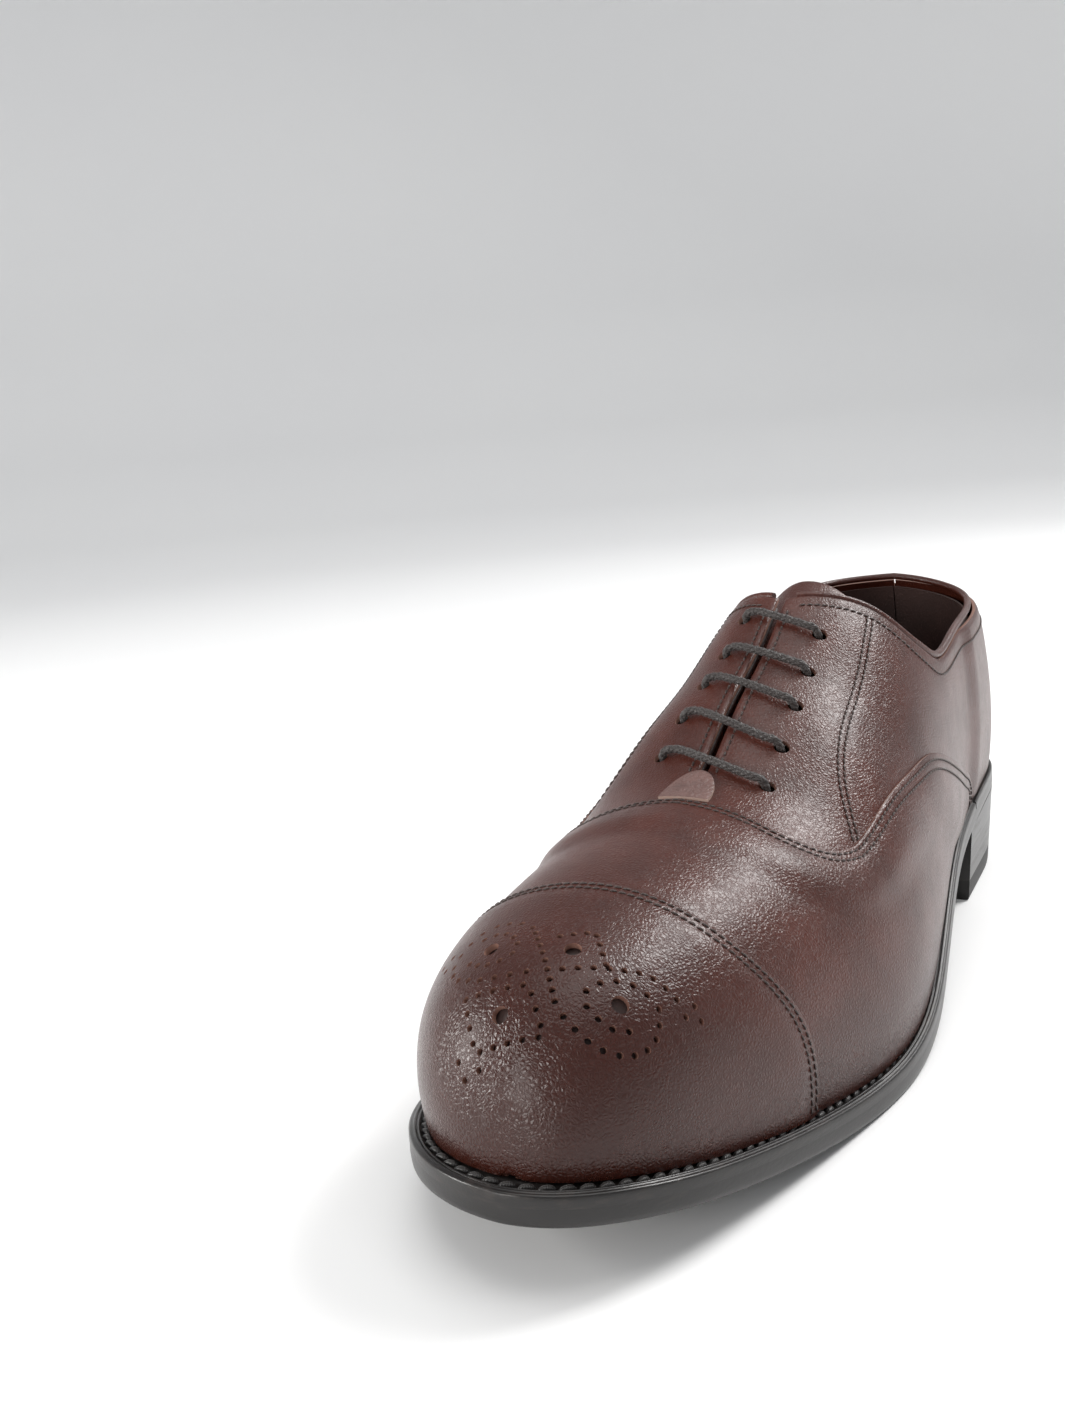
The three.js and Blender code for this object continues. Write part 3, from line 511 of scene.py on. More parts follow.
def leather(name, outline, low, high, materials, step=1.8, holes=(), rows=(), round_edge=0.35):
    """A leather cut to an outline on the last and given its thickness, with softened edges.

    rows are lines of stitching: the leather dips along them. The second material is the cut edge."""
    near_rows = []
    for row in rows:
        near_rows += [row, *(beside_line(row, d) for d in (-0.8, 0.8))]
    points, faces, lines = cut_sheet(outline, step, holes, near_rows)
    s, w = points.T
    top = high(s, w)
    edge = distance_to(lines[:1], points)
    top = top - round_edge * (1 - np.sqrt(np.clip(1 - (1 - np.clip(edge / 0.9, 0, 1)) ** 2, 0, 1)))
    if rows:
        top = top - 0.16 * np.exp(-((distance_to(rows, points) / 0.7) ** 2))
    upper, lower = leather_point(s, w, top), leather_point(s, w, low(s, w))
    count = len(points)
    used = {edge_: None for a, b, c in faces for edge_ in ((a, b), (b, c), (c, a))}
    walls = [(b, a, a + count, b + count) for a, b in used if (b, a) not in used]
    shell = [tuple(f) for f in faces] + [(a + count, c + count, b + count) for a, b, c in faces] + walls
    kinds = [0] * (2 * len(faces)) + [len(materials) - 1] * len(walls)
    return add_mesh(name, np.vstack([upper, lower]), shell, materials, kinds)


def beside_line(line, distance):
    flat = in_plane(line)
    forward = unit(np.gradient(flat, axis=0))
    return (flat + np.stack([-forward[:, 1], forward[:, 0]], 1) * distance) / (1, ACROSS_LENGTH)


def ring_at(s, w, radius, count=10):
    """A small round hole on the last, as (s, w)."""
    angle = np.arange(count) * 2 * math.pi / count
    return np.stack(walk(s, w, radius * np.cos(angle), radius * np.sin(angle), 1), -1)


def spaced(points, pitch):
    """Where a step of equal length along a line falls: positions as fractional indices."""
    length = np.concatenate([[0], np.cumsum(np.linalg.norm(np.diff(points, axis=0), axis=1))])
    count = max(int(length[-1] / pitch), 1)
    marks = (np.arange(count) + 0.5) * length[-1] / count
    return np.interp(marks, length, np.arange(len(points)))


def sew(name, centres, tangents, normals, length, radius, flat, lift, slant, material):
    """One small arched thread per place, sunk into the leather at both ends."""
    rings = np.linspace(-1, 1, 7)
    turn = np.arange(6) * math.pi / 3
    swell = np.sqrt(np.clip(1 - rings**4, 0.05, 1))
    along_ = np.repeat(rings * length / 2, 6)
    side_ = (swell[:, None] * np.cos(turn) * radius).ravel()
    high_ = (swell[:, None] * np.sin(turn) * radius * flat + (lift * (1 - rings**2) - 0.1)[:, None]).ravel()
    sides = np.cross(normals, tangents)
    side_ = side_ + along_ * slant
    points = (centres[:, None] + tangents[:, None] * along_[None, :, None]
              + sides[:, None] * side_[None, :, None] + normals[:, None] * high_[None, :, None])
    one = grid_faces(7, 6, False, True) + [tuple(range(6))[::-1], tuple(36 + j for j in range(6))]
    faces = [tuple(v + 42 * k for v in f) for k in range(len(centres)) for f in one]
    return add_mesh(name, points.reshape(-1, 3), faces, [material], sharp=180)


def seam_threads(name, lines, offset_at, material, sizes):
    """Rows of upper stitching along lines of (s, w)."""
    centres, tangents, normals = [], [], []
    for line in lines:
        fine = leather_point(line[:, 0], line[:, 1], offset_at(line[:, 0], line[:, 1]))
        marks = spaced(fine, sizes.stitch_pitch / MM)
        out = outward(*resampled(line, marks).T)
        ahead = resampled(np.gradient(fine, axis=0), marks)
        centres.append(resampled(fine, marks))
        tangents.append(unit(ahead - out * np.sum(ahead * out, 1, keepdims=True)))
        normals.append(out)
    return sew(name, np.vstack(centres), np.vstack(tangents), np.vstack(normals), sizes.stitch_length / MM,
               sizes.thread_radius / MM, 0.8, 0.16, 0.14, material)


# ------------------------------------------------------------------ materials
def node(tree, kind, inputs=None, **settings):
    made = tree.nodes.new(kind)
    for key, value in settings.items():
        setattr(made, key, value)
    for key, value in (inputs or {}).items():
        if isinstance(value, bpy.types.NodeSocket):
            tree.links.new(value, made.inputs[key])
        else:
            made.inputs[key].default_value = value
    return made


def group_tree(name, inputs, outputs):
    """A shader node group with named sockets, made once."""
    tree = bpy.data.node_groups.new(name, "ShaderNodeTree")
    for label, kind, default in inputs:
        socket = tree.interface.new_socket(name=label, in_out="INPUT", socket_type=kind)
        if default is not None:
            socket.default_value = default
    for label, kind in outputs:
        tree.interface.new_socket(name=label, in_out="OUTPUT", socket_type=kind)
    return tree, tree.nodes.new("NodeGroupInput"), tree.nodes.new("NodeGroupOutput")


def mix_colour(tree, factor, a, b, blend="MIX"):
    made = tree.nodes.new("ShaderNodeMix")
    made.data_type = "RGBA"
    made.blend_type = blend
    for key, value in ((0, factor), (6, a), (7, b)):
        if isinstance(value, bpy.types.NodeSocket):
            tree.links.new(value, made.inputs[key])
        else:
            made.inputs[key].default_value = value
    return made.outputs[2]


def maths(tree, operation, a, b=0.0, clamp=False):
    made = node(tree, "ShaderNodeMath", {0: a, 1: b}, operation=operation)
    made.use_clamp = clamp
    return made.outputs[0]


def ramp(tree, value, low, high, out_low=0.0, out_high=1.0):
    return node(tree, "ShaderNodeMapRange", {"Value": value, "From Min": low, "From Max": high,
                                             "To Min": out_low, "To Max": out_high}).outputs[0]


def noise(tree, where, scale, detail, roughness=0.5):
    return node(tree, "ShaderNodeTexNoise", {"Vector": where, "Scale": scale, "Detail": detail,
                                             "Roughness": roughness})


def grain_group():
    """Fine pebbled grain: shallow cells between creases, over a broader unevenness."""
    if "PebbledGrain" in bpy.data.node_groups:
        return bpy.data.node_groups["PebbledGrain"]
    tree, given, result = group_tree(
        "PebbledGrain",
        [("Vector", "NodeSocketVector", None), ("Scale", "NodeSocketFloat", 1100.0),
         ("Stretch", "NodeSocketFloat", 0.6)],
        [("Height", "NodeSocketFloat"), ("Mottle", "NodeSocketFloat"), ("Pores", "NodeSocketFloat")])
    bend = noise(tree, given.outputs["Vector"], 420.0, 2.0)
    away = node(tree, "ShaderNodeVectorMath", {0: bend.outputs["Color"], 1: (0.0016, 0.0016, 0.0016)},
                operation="MULTIPLY")
    bent = node(tree, "ShaderNodeVectorMath", {0: given.outputs["Vector"], 1: away.outputs[0]},
                operation="ADD")
    cells = node(tree, "ShaderNodeTexVoronoi", {"Vector": bent.outputs[0], "Scale": given.outputs["Scale"]},
                 feature="DISTANCE_TO_EDGE")
    fine = noise(tree, bent.outputs[0], 2600.0, 3.0)
    broad = noise(tree, given.outputs["Vector"], 70.0, 5.0, 0.6)
    pebble = ramp(tree, cells.outputs["Distance"], 0.0, 0.35)
    height = maths(tree, "ADD", maths(tree, "MULTIPLY", pebble, given.outputs["Stretch"]),
                   maths(tree, "MULTIPLY", fine.outputs["Fac"], 0.5))
    tree.links.new(height, result.inputs["Height"])
    tree.links.new(ramp(tree, broad.outputs["Fac"], 0.3, 0.7), result.inputs["Mottle"])
    tree.links.new(ramp(tree, cells.outputs["Distance"], 0.0, 0.12, 1.0, 0.0), result.inputs["Pores"])
    return tree


def burnish_group():
    """Where polish has darkened the leather: the toe, the heel and low down by the welt."""
    if "Burnish" in bpy.data.node_groups:
        return bpy.data.node_groups["Burnish"]
    tree, given, result = group_tree(
        "Burnish",
        [("Vector", "NodeSocketVector", None), ("Toe From", "NodeSocketFloat", 0.08),
         ("Heel From", "NodeSocketFloat", -0.11)],
        [("Mask", "NodeSocketFloat")])
    split = node(tree, "ShaderNodeSeparateXYZ", {0: given.outputs["Vector"]})
    wander = noise(tree, given.outputs["Vector"], 26.0, 4.0)
    shift = maths(tree, "MULTIPLY", maths(tree, "SUBTRACT", wander.outputs["Fac"], 0.5), 0.03)
    x = maths(tree, "ADD", split.outputs["X"], shift)
    toe = node(tree, "ShaderNodeMapRange", {"Value": x, "From Min": given.outputs["Toe From"],
                                            "From Max": 0.15}, interpolation_type="SMOOTHSTEP").outputs[0]
    heel = node(tree, "ShaderNodeMapRange", {"Value": x, "From Min": given.outputs["Heel From"],
                                             "From Max": -0.16}, interpolation_type="SMOOTHSTEP").outputs[0]
    height = maths(tree, "ADD", split.outputs["Z"], maths(tree, "MULTIPLY", shift, 0.5))
    foot = node(tree, "ShaderNodeMapRange", {"Value": height, "From Min": 0.034, "From Max": 0.012},
                interpolation_type="SMOOTHSTEP").outputs[0]
    both = maths(tree, "MAXIMUM", toe, heel)
    tree.links.new(maths(tree, "MAXIMUM", both, maths(tree, "MULTIPLY", foot, 0.7)), result.inputs["Mask"])
    return tree


def wear_group():
    """Broken, scuffed light patches laid over a finished edge."""
    if "ScuffedEdge" in bpy.data.node_groups:
        return bpy.data.node_groups["ScuffedEdge"]
    tree, given, result = group_tree(
        "ScuffedEdge",
        [("Vector", "NodeSocketVector", None), ("Scale", "NodeSocketFloat", 220.0),
         ("Amount", "NodeSocketFloat", 0.5)],
        [("Mask", "NodeSocketFloat"), ("Height", "NodeSocketFloat")])
    stretch = node(tree, "ShaderNodeMapping", {"Vector": given.outputs["Vector"], "Scale": (0.25, 0.6, 2.2)})
    streak = noise(tree, stretch.outputs[0], given.outputs["Scale"], 6.0, 0.7)
    spots = noise(tree, given.outputs["Vector"], 900.0, 3.0)
    low = maths(tree, "SUBTRACT", 1.0, given.outputs["Amount"])
    mask = node(tree, "ShaderNodeMapRange", {"Value": streak.outputs["Fac"], "From Min": low,
                                             "From Max": 0.95})
    tree.links.new(mask.outputs[0], result.inputs["Mask"])
    height = maths(tree, "ADD", streak.outputs["Fac"], maths(tree, "MULTIPLY", spots.outputs["Fac"], 0.4))
    tree.links.new(height, result.inputs["Height"])
    return tree


def place_group(tree, group, **values):
    made = tree.nodes.new("ShaderNodeGroup")
    made.node_tree = group
    for key, value in values.items():
        label = key.replace("_", " ")
        if isinstance(value, bpy.types.NodeSocket):
            tree.links.new(value, made.inputs[label])
        else:
            made.inputs[label].default_value = value
    return made


def start_material(name):
    material = bpy.data.materials.new(name)
    material.use_nodes = True
    tree = material.node_tree
    where = tree.nodes.new("ShaderNodeTexCoord").outputs["Object"]
    return material, tree, tree.nodes["Principled BSDF"], where


def shade(tree, shader, colour, roughness, height, bump_distance, strength=1.0):
    for key, value in (("Base Color", colour), ("Roughness", roughness)):
        if isinstance(value, bpy.types.NodeSocket):
            tree.links.new(value, shader.inputs[key])
        else:
            shader.inputs[key].default_value = value
    bump = node(tree, "ShaderNodeBump", {"Height": height, "Distance": bump_distance, "Strength": strength})
    tree.links.new(bump.outputs[0], shader.inputs["Normal"])


def rgba(colour, gain=1.0):
    return tuple(c * gain for c in colour[:3]) + (1.0,)


def leather_material(name, colour, gloss, scale, depth, burnished=0.0, spread=0.25, coat=0.0):
    """Dyed leather: mottled colour, pebbled grain, and burnishing where polish gathers."""
    if name in bpy.data.materials:
        return bpy.data.materials[name]
    material, tree, shader, where = start_material(name)
    grain = place_group(tree, grain_group(), Vector=where, Scale=scale, Stretch=0.8)
    shown = mix_colour(tree, grain.outputs["Mottle"], rgba(colour, 1 - spread), rgba(colour, 1 + spread))
    roughness = ramp(tree, grain.outputs["Mottle"], 0.0, 1.0, 1 - gloss, 0.93 - gloss)
    if burnished:
        mask = place_group(tree, burnish_group(), Vector=where).outputs["Mask"]
        dark = mix_colour(tree, maths(tree, "MULTIPLY", mask, burnished), shown, rgba(colour, 0.42))
        pores = maths(tree, "MULTIPLY", grain.outputs["Pores"], 0.22)
        shown = mix_colour(tree, pores, dark, rgba(colour, 0.35))
        roughness = maths(tree, "SUBTRACT", roughness, maths(tree, "MULTIPLY", mask, 0.06))
    shade(tree, shader, shown, roughness, grain.outputs["Height"], depth, 0.8)
    shader.inputs["Coat Weight"].default_value = coat
    shader.inputs["Coat Roughness"].default_value = 0.22
    shader.inputs["Specular IOR Level"].default_value = 0.36
    return material


def edge_material(name, colour, light, roughness, amount, scale=220.0, depth=0.00012):
    """A waxed, dyed edge or stack: nearly black, streaked, with lighter scuffs."""
    if name in bpy.data.materials:
        return bpy.data.materials[name]
    material, tree, shader, where = start_material(name)
    wear = place_group(tree, wear_group(), Vector=where, Scale=scale, Amount=amount)
    shown = mix_colour(tree, wear.outputs["Mask"], rgba(colour), rgba(light))
    rough = maths(tree, "ADD", maths(tree, "MULTIPLY", wear.outputs["Mask"], 0.2), roughness)
    shade(tree, shader, shown, rough, wear.outputs["Height"], depth, 0.6)
    return material


def thread_material(name, colour, roughness=0.45, twist=2400.0):
    """Waxed thread or cord: fine plies that run across it, with painted shade in the grooves between them and a
    painted highlight on their crests.
    """
    if name in bpy.data.materials:
        return bpy.data.materials[name]
    material, tree, shader, where = start_material(name)
    turn = node(tree, "ShaderNodeMapping", {"Vector": where, "Rotation": (0.6, 0.4, 0.8)})
    plies = node(tree, "ShaderNodeTexWave", {"Vector": turn.outputs[0], "Scale": twist, "Distortion": 3.0,
                                             "Detail": 1.0})
    fuzz = noise(tree, where, 1800.0, 3.0)
    # painted shade and painted highlight: the colour darkens in the grooves between plies and lightens on the
    # ply crests
    shown = mix_colour(tree, plies.outputs["Fac"], rgba(colour, 0.55), rgba(colour, 1.25))
    height = maths(tree, "ADD", plies.outputs["Fac"], maths(tree, "MULTIPLY", fuzz.outputs["Fac"], 0.6))
    shade(tree, shader, shown, roughness, height, 0.00006, 0.7)
    shader.inputs["Sheen Weight"].default_value = 0.15
    return material


def metal_material():
    if "old_brass" in bpy.data.materials:
        return bpy.data.materials["old_brass"]
    material, tree, shader, where = start_material("old_brass")
    wear = place_group(tree, wear_group(), Vector=where, Scale=500.0, Amount=0.6)
    shown = mix_colour(tree, wear.outputs["Mask"], (0.32, 0.2, 0.07, 1), (0.12, 0.07, 0.03, 1))
    rough = ramp(tree, wear.outputs["Mask"], 0, 1, 0.32, 0.6)
    shade(tree, shader, shown, rough, wear.outputs["Height"], 0.00005)
    shader.inputs["Metallic"].default_value = 1.0
    return material


# ------------------------------------------------------------------ settings
class ShoeSizes(bpy.types.PropertyGroup):
    mesh_step: bpy.props.FloatProperty(
        name="Leather Mesh", description="Spacing of the points on the outer leathers", default=1.8)
    lining_step: bpy.props.FloatProperty(
        name="Lining Mesh", description="Spacing of the points on the linings", default=3.0)
    stitch_pitch: bpy.props.FloatProperty(
        name="Stitch Pitch", description="Distance between upper stitches", default=0.00195, unit="LENGTH",
        precision=5)
    stitch_length: bpy.props.FloatProperty(
        name="Stitch Length", description="Length of one upper stitch", default=0.00165, unit="LENGTH",
        precision=5)
    thread_radius: bpy.props.FloatProperty(
        name="Thread Radius", description="Radius of the upper thread", default=0.00027, unit="LENGTH",
        precision=5)
    row_gap: bpy.props.FloatProperty(
        name="Row Gap", description="Distance between two rows of a double seam", default=0.0019,
        unit="LENGTH", precision=5)
    welt_pitch: bpy.props.FloatProperty(
        name="Welt Stitch Pitch", description="Distance between welt stitches", default=0.0037, unit="LENGTH",
        precision=5)
    punch_radius: bpy.props.FloatProperty(
        name="Punch Radius", description="Radius of the small holes of the medallion", default=0.00062,
        unit="LENGTH", precision=5)
    big_punch_radius: bpy.props.FloatProperty(
        name="Big Punch Radius", description="Radius of the large holes of the medallion", default=0.00155,
        unit="LENGTH", precision=5)
    lace_hole_radius: bpy.props.FloatProperty(
        name="Lace Hole Radius", description="Radius of the punched lace holes", default=0.0019,
        unit="LENGTH", precision=5)
    lace_radius: bpy.props.FloatProperty(
        name="Lace Radius", description="Radius of the round lace", default=0.0012, unit="LENGTH",
        precision=5)


class ShoeColours(bpy.types.PropertyGroup):
    calf: bpy.props.FloatVectorProperty(
        name="Calf", description="Dyed calf of the upper", default=(0.062, 0.0145, 0.0085), size=3,
        subtype="COLOR")
    lining: bpy.props.FloatVectorProperty(
        name="Lining", description="Lining leather", default=(0.03, 0.0145, 0.012), size=3, subtype="COLOR")
    raw_edge: bpy.props.FloatVectorProperty(
        name="Raw Edge", description="Cut edge of the calf", default=(0.2, 0.1, 0.075), size=3,
        subtype="COLOR")
    sole: bpy.props.FloatVectorProperty(
        name="Sole Edge", description="Waxed sole edge and heel", default=(0.009, 0.0075, 0.007), size=3,
        subtype="COLOR")
    thread: bpy.props.FloatVectorProperty(
        name="Thread", description="Upper thread", default=(0.035, 0.016, 0.011), size=3, subtype="COLOR")
    lace: bpy.props.FloatVectorProperty(
        name="Lace", description="Waxed cotton lace", default=(0.02, 0.0125, 0.0105), size=3, subtype="COLOR")


def calf():
    colour = bpy.context.scene.shoe_colours.calf
    return leather_material("burgundy_calf", colour, 0.64, 1150.0, 0.00011, burnished=0.75, coat=0.1)


def raw_edge():
    colour = bpy.context.scene.shoe_colours.raw_edge
    return edge_material("cut_calf_edge", colour, (0.3, 0.17, 0.13), 0.55, 0.6, 400.0)


def lining_leather():
    return leather_material("lining_leather", bpy.context.scene.shoe_colours.lining, 0.42, 900.0, 0.00008)


def sole_edge():
    colour = bpy.context.scene.shoe_colours.sole
    return edge_material("waxed_sole_edge", colour, (0.045, 0.038, 0.033), 0.32, 0.42)


def upper_thread():
    return thread_material("upper_thread", bpy.context.scene.shoe_colours.thread)


# Where the forefoot bends, from fixed to the shoe to fixed to the toe; bend_at_ball reads these but does not
# bend the piece, it only bakes its transform.
BEND_FROM, BEND_TO = 200, 232


def bend_at_ball(piece):
    start, end = in_frame([(BEND_FROM, 0, 0), (BEND_TO, 0, 0)])
    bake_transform(piece)


# ------------------------------------------------------------------ the bottom
weltside = along([(0, WELT_HEEL_MARGIN)],
                 [(70, WELT_HEEL_MARGIN), (120, WELT_WAIST_MARGIN),
                  (160, mix(WELT_WAIST_MARGIN, WELT_BALL_MARGIN, 0.5)), (195, WELT_BALL_MARGIN),
                  (235, mix(WELT_BALL_MARGIN, WELT_TOE_MARGIN, 0.3))], WELT_TOE_MARGIN)


def feather(q):
    s = np.minimum(np.abs(q), TIP_STATION)
    side = np.where(q < 0, -1, 1)
    half = np.where(q < 0, medial_half(s), lateral_half(s))
    angle = fan_angle(s)
    return np.stack([centre_x(s) - np.cos(angle) * half, centre_swing(s) + side * np.sin(angle) * half], -1)


def side_step(q, distance):
    """The feather line moved outwards by a distance, in plan."""
    q = np.asarray(q, float)

    def wrapped(v):
        return np.where(np.abs(v) > TIP_STATION, v - np.sign(v) * 2 * TIP_STATION, v)

    along_ = unit(feather(wrapped(q + 0.5)) - feather(wrapped(q - 0.5)))
    across = np.stack([-along_[..., 1], along_[..., 0]], -1)
    return feather(q) + across * np.asarray(distance, float)[..., None]


def above_seat(height):
    return lambda x: seat_along(x) + height


def welt_top(x):
    return seat_along(x) - GAP


def welt_bottom(x):
    return welt_top(x) - WELT_THICKNESS


def outsole_bottom(x):
    return welt_bottom(x) - GAP - OUTSOLE_THICKNESS


# An edge profile is a list of (how far inside the edge, share of the height from bottom to top).
WAXED_EDGE = [(1.1, 0), (0.45, 0.015), (0.1, 0.1), (0, 0.3), (-0.05, 0.55), (0, 0.85), (0.06, 1)]
PLAIN_EDGE = [(0.4, 0), (0, 0.15), (0, 0.85), (0.4, 1)]
TOP_PIECE_EDGE = [(0.7, 0), (0.12, 0.06), (0, 0.2), (0, 0.5), (0, 0.96), (0.08, 1)]
LIFT_EDGE = [(0.06, 0), (0, 0.08), (0, 0.5), (0, 0.92), (0.06, 1)]


def bottom_layer(margin, top, bottom, profile, start=0.0, end=TIP_STATION, step=1.6, columns=16, shape=None):
    """A layer of the bottom lofted from the heel's back to the toe tip, with a shaped edge."""
    stations = np.linspace(start, end, int((end - start) / step) + 2)
    sections = []
    for sign in (1, -1):
        rim = [side_step(sign * stations, margin(stations) - inset) for inset, _ in profile]
        sections.append([(p, share) for p, (_, share) in zip(rim, profile)])
    lateral, medial = sections
    loop = list(lateral)
    fill = np.linspace(0, 1, columns + 1)[1:-1]
    loop += [(mix(lateral[-1][0], medial[-1][0], t), 1) for t in fill]
    loop += medial[::-1]
    loop += [(mix(medial[0][0], lateral[0][0], t), 0) for t in fill]
    heights = [mix(bottom(p[:, 0]), top(p[:, 0]), share) for p, share in loop]
    points = np.stack([np.column_stack([p, z]) for (p, _), z in zip(loop, heights)], 1)
    if shape is not None:
        points = shape(points)
    return loft(points)


class SHOE_OT_outsole(bpy.types.Operator):
    """Lay the outsole with its waxed, slightly rounded edge"""

    bl_idname = "shoe.outsole"
    bl_label = "Outsole"

    def execute(self, context):
        points, faces = bottom_layer(weltside, welt_bottom, outsole_bottom, WAXED_EDGE)
        sole = add_mesh("outsole_leather", points, faces, [sole_edge()], sharp=60)
        bend_at_ball(sole)
        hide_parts("outsole")
        return {"FINISHED"}


# The welt's upper face, from its outer edge inwards: (how far inside, height above the welt's top).
WELT_FACE = [(0, -2.7), (-0.02, -1.4), (0.02, -0.5), (0.25, -0.12), (0.6, 0), (0.95, 0), (1.1, 0.16),
             (1.3, 0.22), (1.5, 0.14), (1.62, -0.12), (1.78, -0.12), (1.92, 0.12), (2.1, 0.17), (2.28, 0.08),
             (2.45, -0.3), (2.8, -0.45), (4.6, -0.45), (5.2, -0.2), (5.6, 0)]
RAND_FACE = [(0, -2.7), (-0.02, -1.4), (0.02, -0.5), (0.3, -0.1), (0.7, 0), (1.0, -0.18), (1.25, -0.18),
             (1.5, 0), (3, 0)]
WELT_STITCH_INSET = 3.55
WELT_WIDTH = 6
WELT_END = 66
FILLER_START = 164


def welt_points(q, face):
    margin = weltside(np.abs(q))
    columns = []
    for inset, height in face:
        p = side_step(q, margin - inset)
        columns.append(np.column_stack([p, welt_top(p[:, 0]) + height]))
    inner = side_step(q, np.full(len(q), -float(WELT_WIDTH)))
    columns.append(np.column_stack([inner, welt_top(inner[:, 0])]))
    columns.append(np.column_stack([inner, welt_bottom(inner[:, 0])]))
    return np.stack(columns, 1)


def round_toe(count):
    start = float(station(WELT_END))
    q = np.linspace(start, 2 * TIP_STATION - start, count)
    return np.where(q > TIP_STATION, q - 2 * TIP_STATION, q)


class SHOE_OT_welt(bpy.types.Operator):
    """Lay the welt with its beaded edge, the heel rand, and the chunky welt stitches"""

    bl_idname = "shoe.welt"
    bl_label = "Welt and Rand"

    def execute(self, context):
        finish = edge_material("welt_finish", context.scene.shoe_colours.sole, (0.05, 0.036, 0.03), 0.3, 0.5,
                               300.0)
        points, faces = loft(welt_points(round_toe(420), WELT_FACE))
        welt = add_mesh("welt_beaded", points, faces, [finish], sharp=60)
        bend_at_ball(welt)
        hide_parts("welt")
        self.lay_rand(finish)
        self.sew_welt(context)
        return {"FINISHED"}

    def lay_rand(self, finish):
        start = float(station(WELT_END)) - 1
        points, faces = loft(welt_points(np.linspace(-start, start, 160), RAND_FACE))
        rand = add_mesh("heel_rand_edge", points, faces, [finish], sharp=60)
        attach(rand, "shoe")
        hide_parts("heel_rand")

    def sew_welt(self, context):
        sizes = context.scene.shoe_sizes
        q = round_toe(1200)
        line = side_step(q, weltside(np.abs(q)) - WELT_STITCH_INSET)
        fine = np.column_stack([line, welt_top(line[:, 0]) - 0.42])
        marks = spaced(fine, sizes.welt_pitch / MM)
        centres = resampled(fine, marks)
        ahead = unit(resampled(np.gradient(fine, axis=0), marks))
        up = np.tile([0.0, 0.0, 1.0], (len(centres), 1))
        up -= ahead * np.sum(up * ahead, 1, keepdims=True)
        thread = thread_material("welt_thread", rgba(context.scene.shoe_colours.sole, 1.7), 0.4, 900.0)
        rows = sew("welt_stitches", centres, ahead, up, sizes.welt_pitch / MM * 0.93, 0.72, 0.75, 0.42, 0.25,
                   thread)
        bend_at_ball(rows)


HEEL_BREAST_HOLLOW = 2.2


class SHOE_OT_heel(bpy.types.Operator):
    """Stack the heel: a rubber top piece and three leather lifts"""

    bl_idname = "shoe.heel"
    bl_label = "Heel Stack"

    def execute(self, context):
        back = side_step(np.array([0.0]), np.array([float(WELT_HEEL_MARGIN)]))[0, 0]
        breast = HEEL_LENGTH + back
        heel_top = float(outsole_bottom(0.0))
        colours = context.scene.shoe_colours
        rubber = edge_material("heel_rubber", rgba(colours.sole, 0.8), (0.035, 0.032, 0.03), 0.55, 0.45)
        stack = edge_material("stacked_heel", colours.sole, (0.05, 0.04, 0.034), 0.3, 0.5, 180.0)

        def shaped(points):
            x, y, z = np.moveaxis(points, -1, 0)
            hollow = HEEL_BREAST_HOLLOW * (1 - np.clip(y / HEEL_HALF_WIDTH, -1, 1) ** 2)
            x = np.minimum(x, breast - hollow)
            taper = 1 - HEEL_TAPER * (1 - np.clip(z / heel_top, 0, 1)) / (2 * HEEL_HALF_WIDTH)
            return np.stack([HEEL_CENTRE + (x - HEEL_CENTRE) * taper, y * taper, z], -1)

        edges = [0, TOP_PIECE_THICKNESS]
        edges += [edges[1] + (GAP + LIFT_THICKNESS) * n for n in (1, 2)]
        nodes = ["heel_top_piece", "heel_lift_1", "heel_lift_2", "heel_lift_3"]
        end = float(station(breast)) + 3
        for number, name in enumerate(nodes):
            top = level(edges[number + 1]) if number < 3 else outsole_bottom
            profile, finish = (LIFT_EDGE, stack) if number else (TOP_PIECE_EDGE, rubber)
            points, faces = bottom_layer(weltside, top, level(edges[number]), profile, end=end, shape=shaped,
                                         step=1.3)
            lift = add_mesh(f"{name}_finished", points, faces, [finish], sharp=60)
            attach(lift, "shoe")
            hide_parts(name)
        return {"FINISHED"}


class SHOE_OT_insole(bpy.types.Operator):
    """Lay the insole, the cork under it and the sock liner on it"""

    bl_idname = "shoe.insole"
    bl_label = "Insole and Sock"

    def execute(self, context):
        tan = edge_material("insole_board", (0.24, 0.13, 0.06), (0.32, 0.2, 0.11), 0.7, 0.5)
        cork = edge_material("cork_grains", (0.3, 0.17, 0.07), (0.12, 0.06, 0.03), 0.85, 0.55, 700.0, 0.0004)
        sock = leather_material("sock_leather", context.scene.shoe_colours.lining, 0.4, 700.0, 0.00008,
                                spread=0.3)
        layers = [
            ("insole_board_piece", "insole", -0.7, above_seat(GAP), above_seat(GAP + INSOLE_THICKNESS), tan,
             "insole"),
            ("sock_liner_leather", "sock_liner", -1.2, above_seat(GAP + INSOLE_THICKNESS + 0.05),
             above_seat(2 * GAP + INSOLE_THICKNESS + SOCK_THICKNESS), sock, "lining"),
        ]
        for name, cad, inset, bottom, top, finish, slot in layers:
            points, faces = bottom_layer(level(inset), top, bottom, PLAIN_EDGE, step=3, columns=12)
            piece = add_mesh(name, points, faces, [finish])
            bend_at_ball(piece)
            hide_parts(cad)
        points, faces = bottom_layer(level(-WELT_WIDTH - GAP), welt_top, welt_bottom, PLAIN_EDGE,
                                     float(station(FILLER_START)), TIP_STATION - 8, 3, 10)
        filler = add_mesh("cork_filler_layer", points, faces, [cork])
        bend_at_ball(filler)
        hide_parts("cork_filler")
        return {"FINISHED"}


# ------------------------------------------------------------------ the upper
SKIVED = 0.75     # thickness of a leather at its skived edge
TIGHT = 0.05      # how closely the finished leathers lie on each other


def thinned(distance, full=UPPER_THICKNESS):
    """Thickness of a leather that was skived near an edge."""
    return mix(SKIVED, full, smooth(distance / 7))


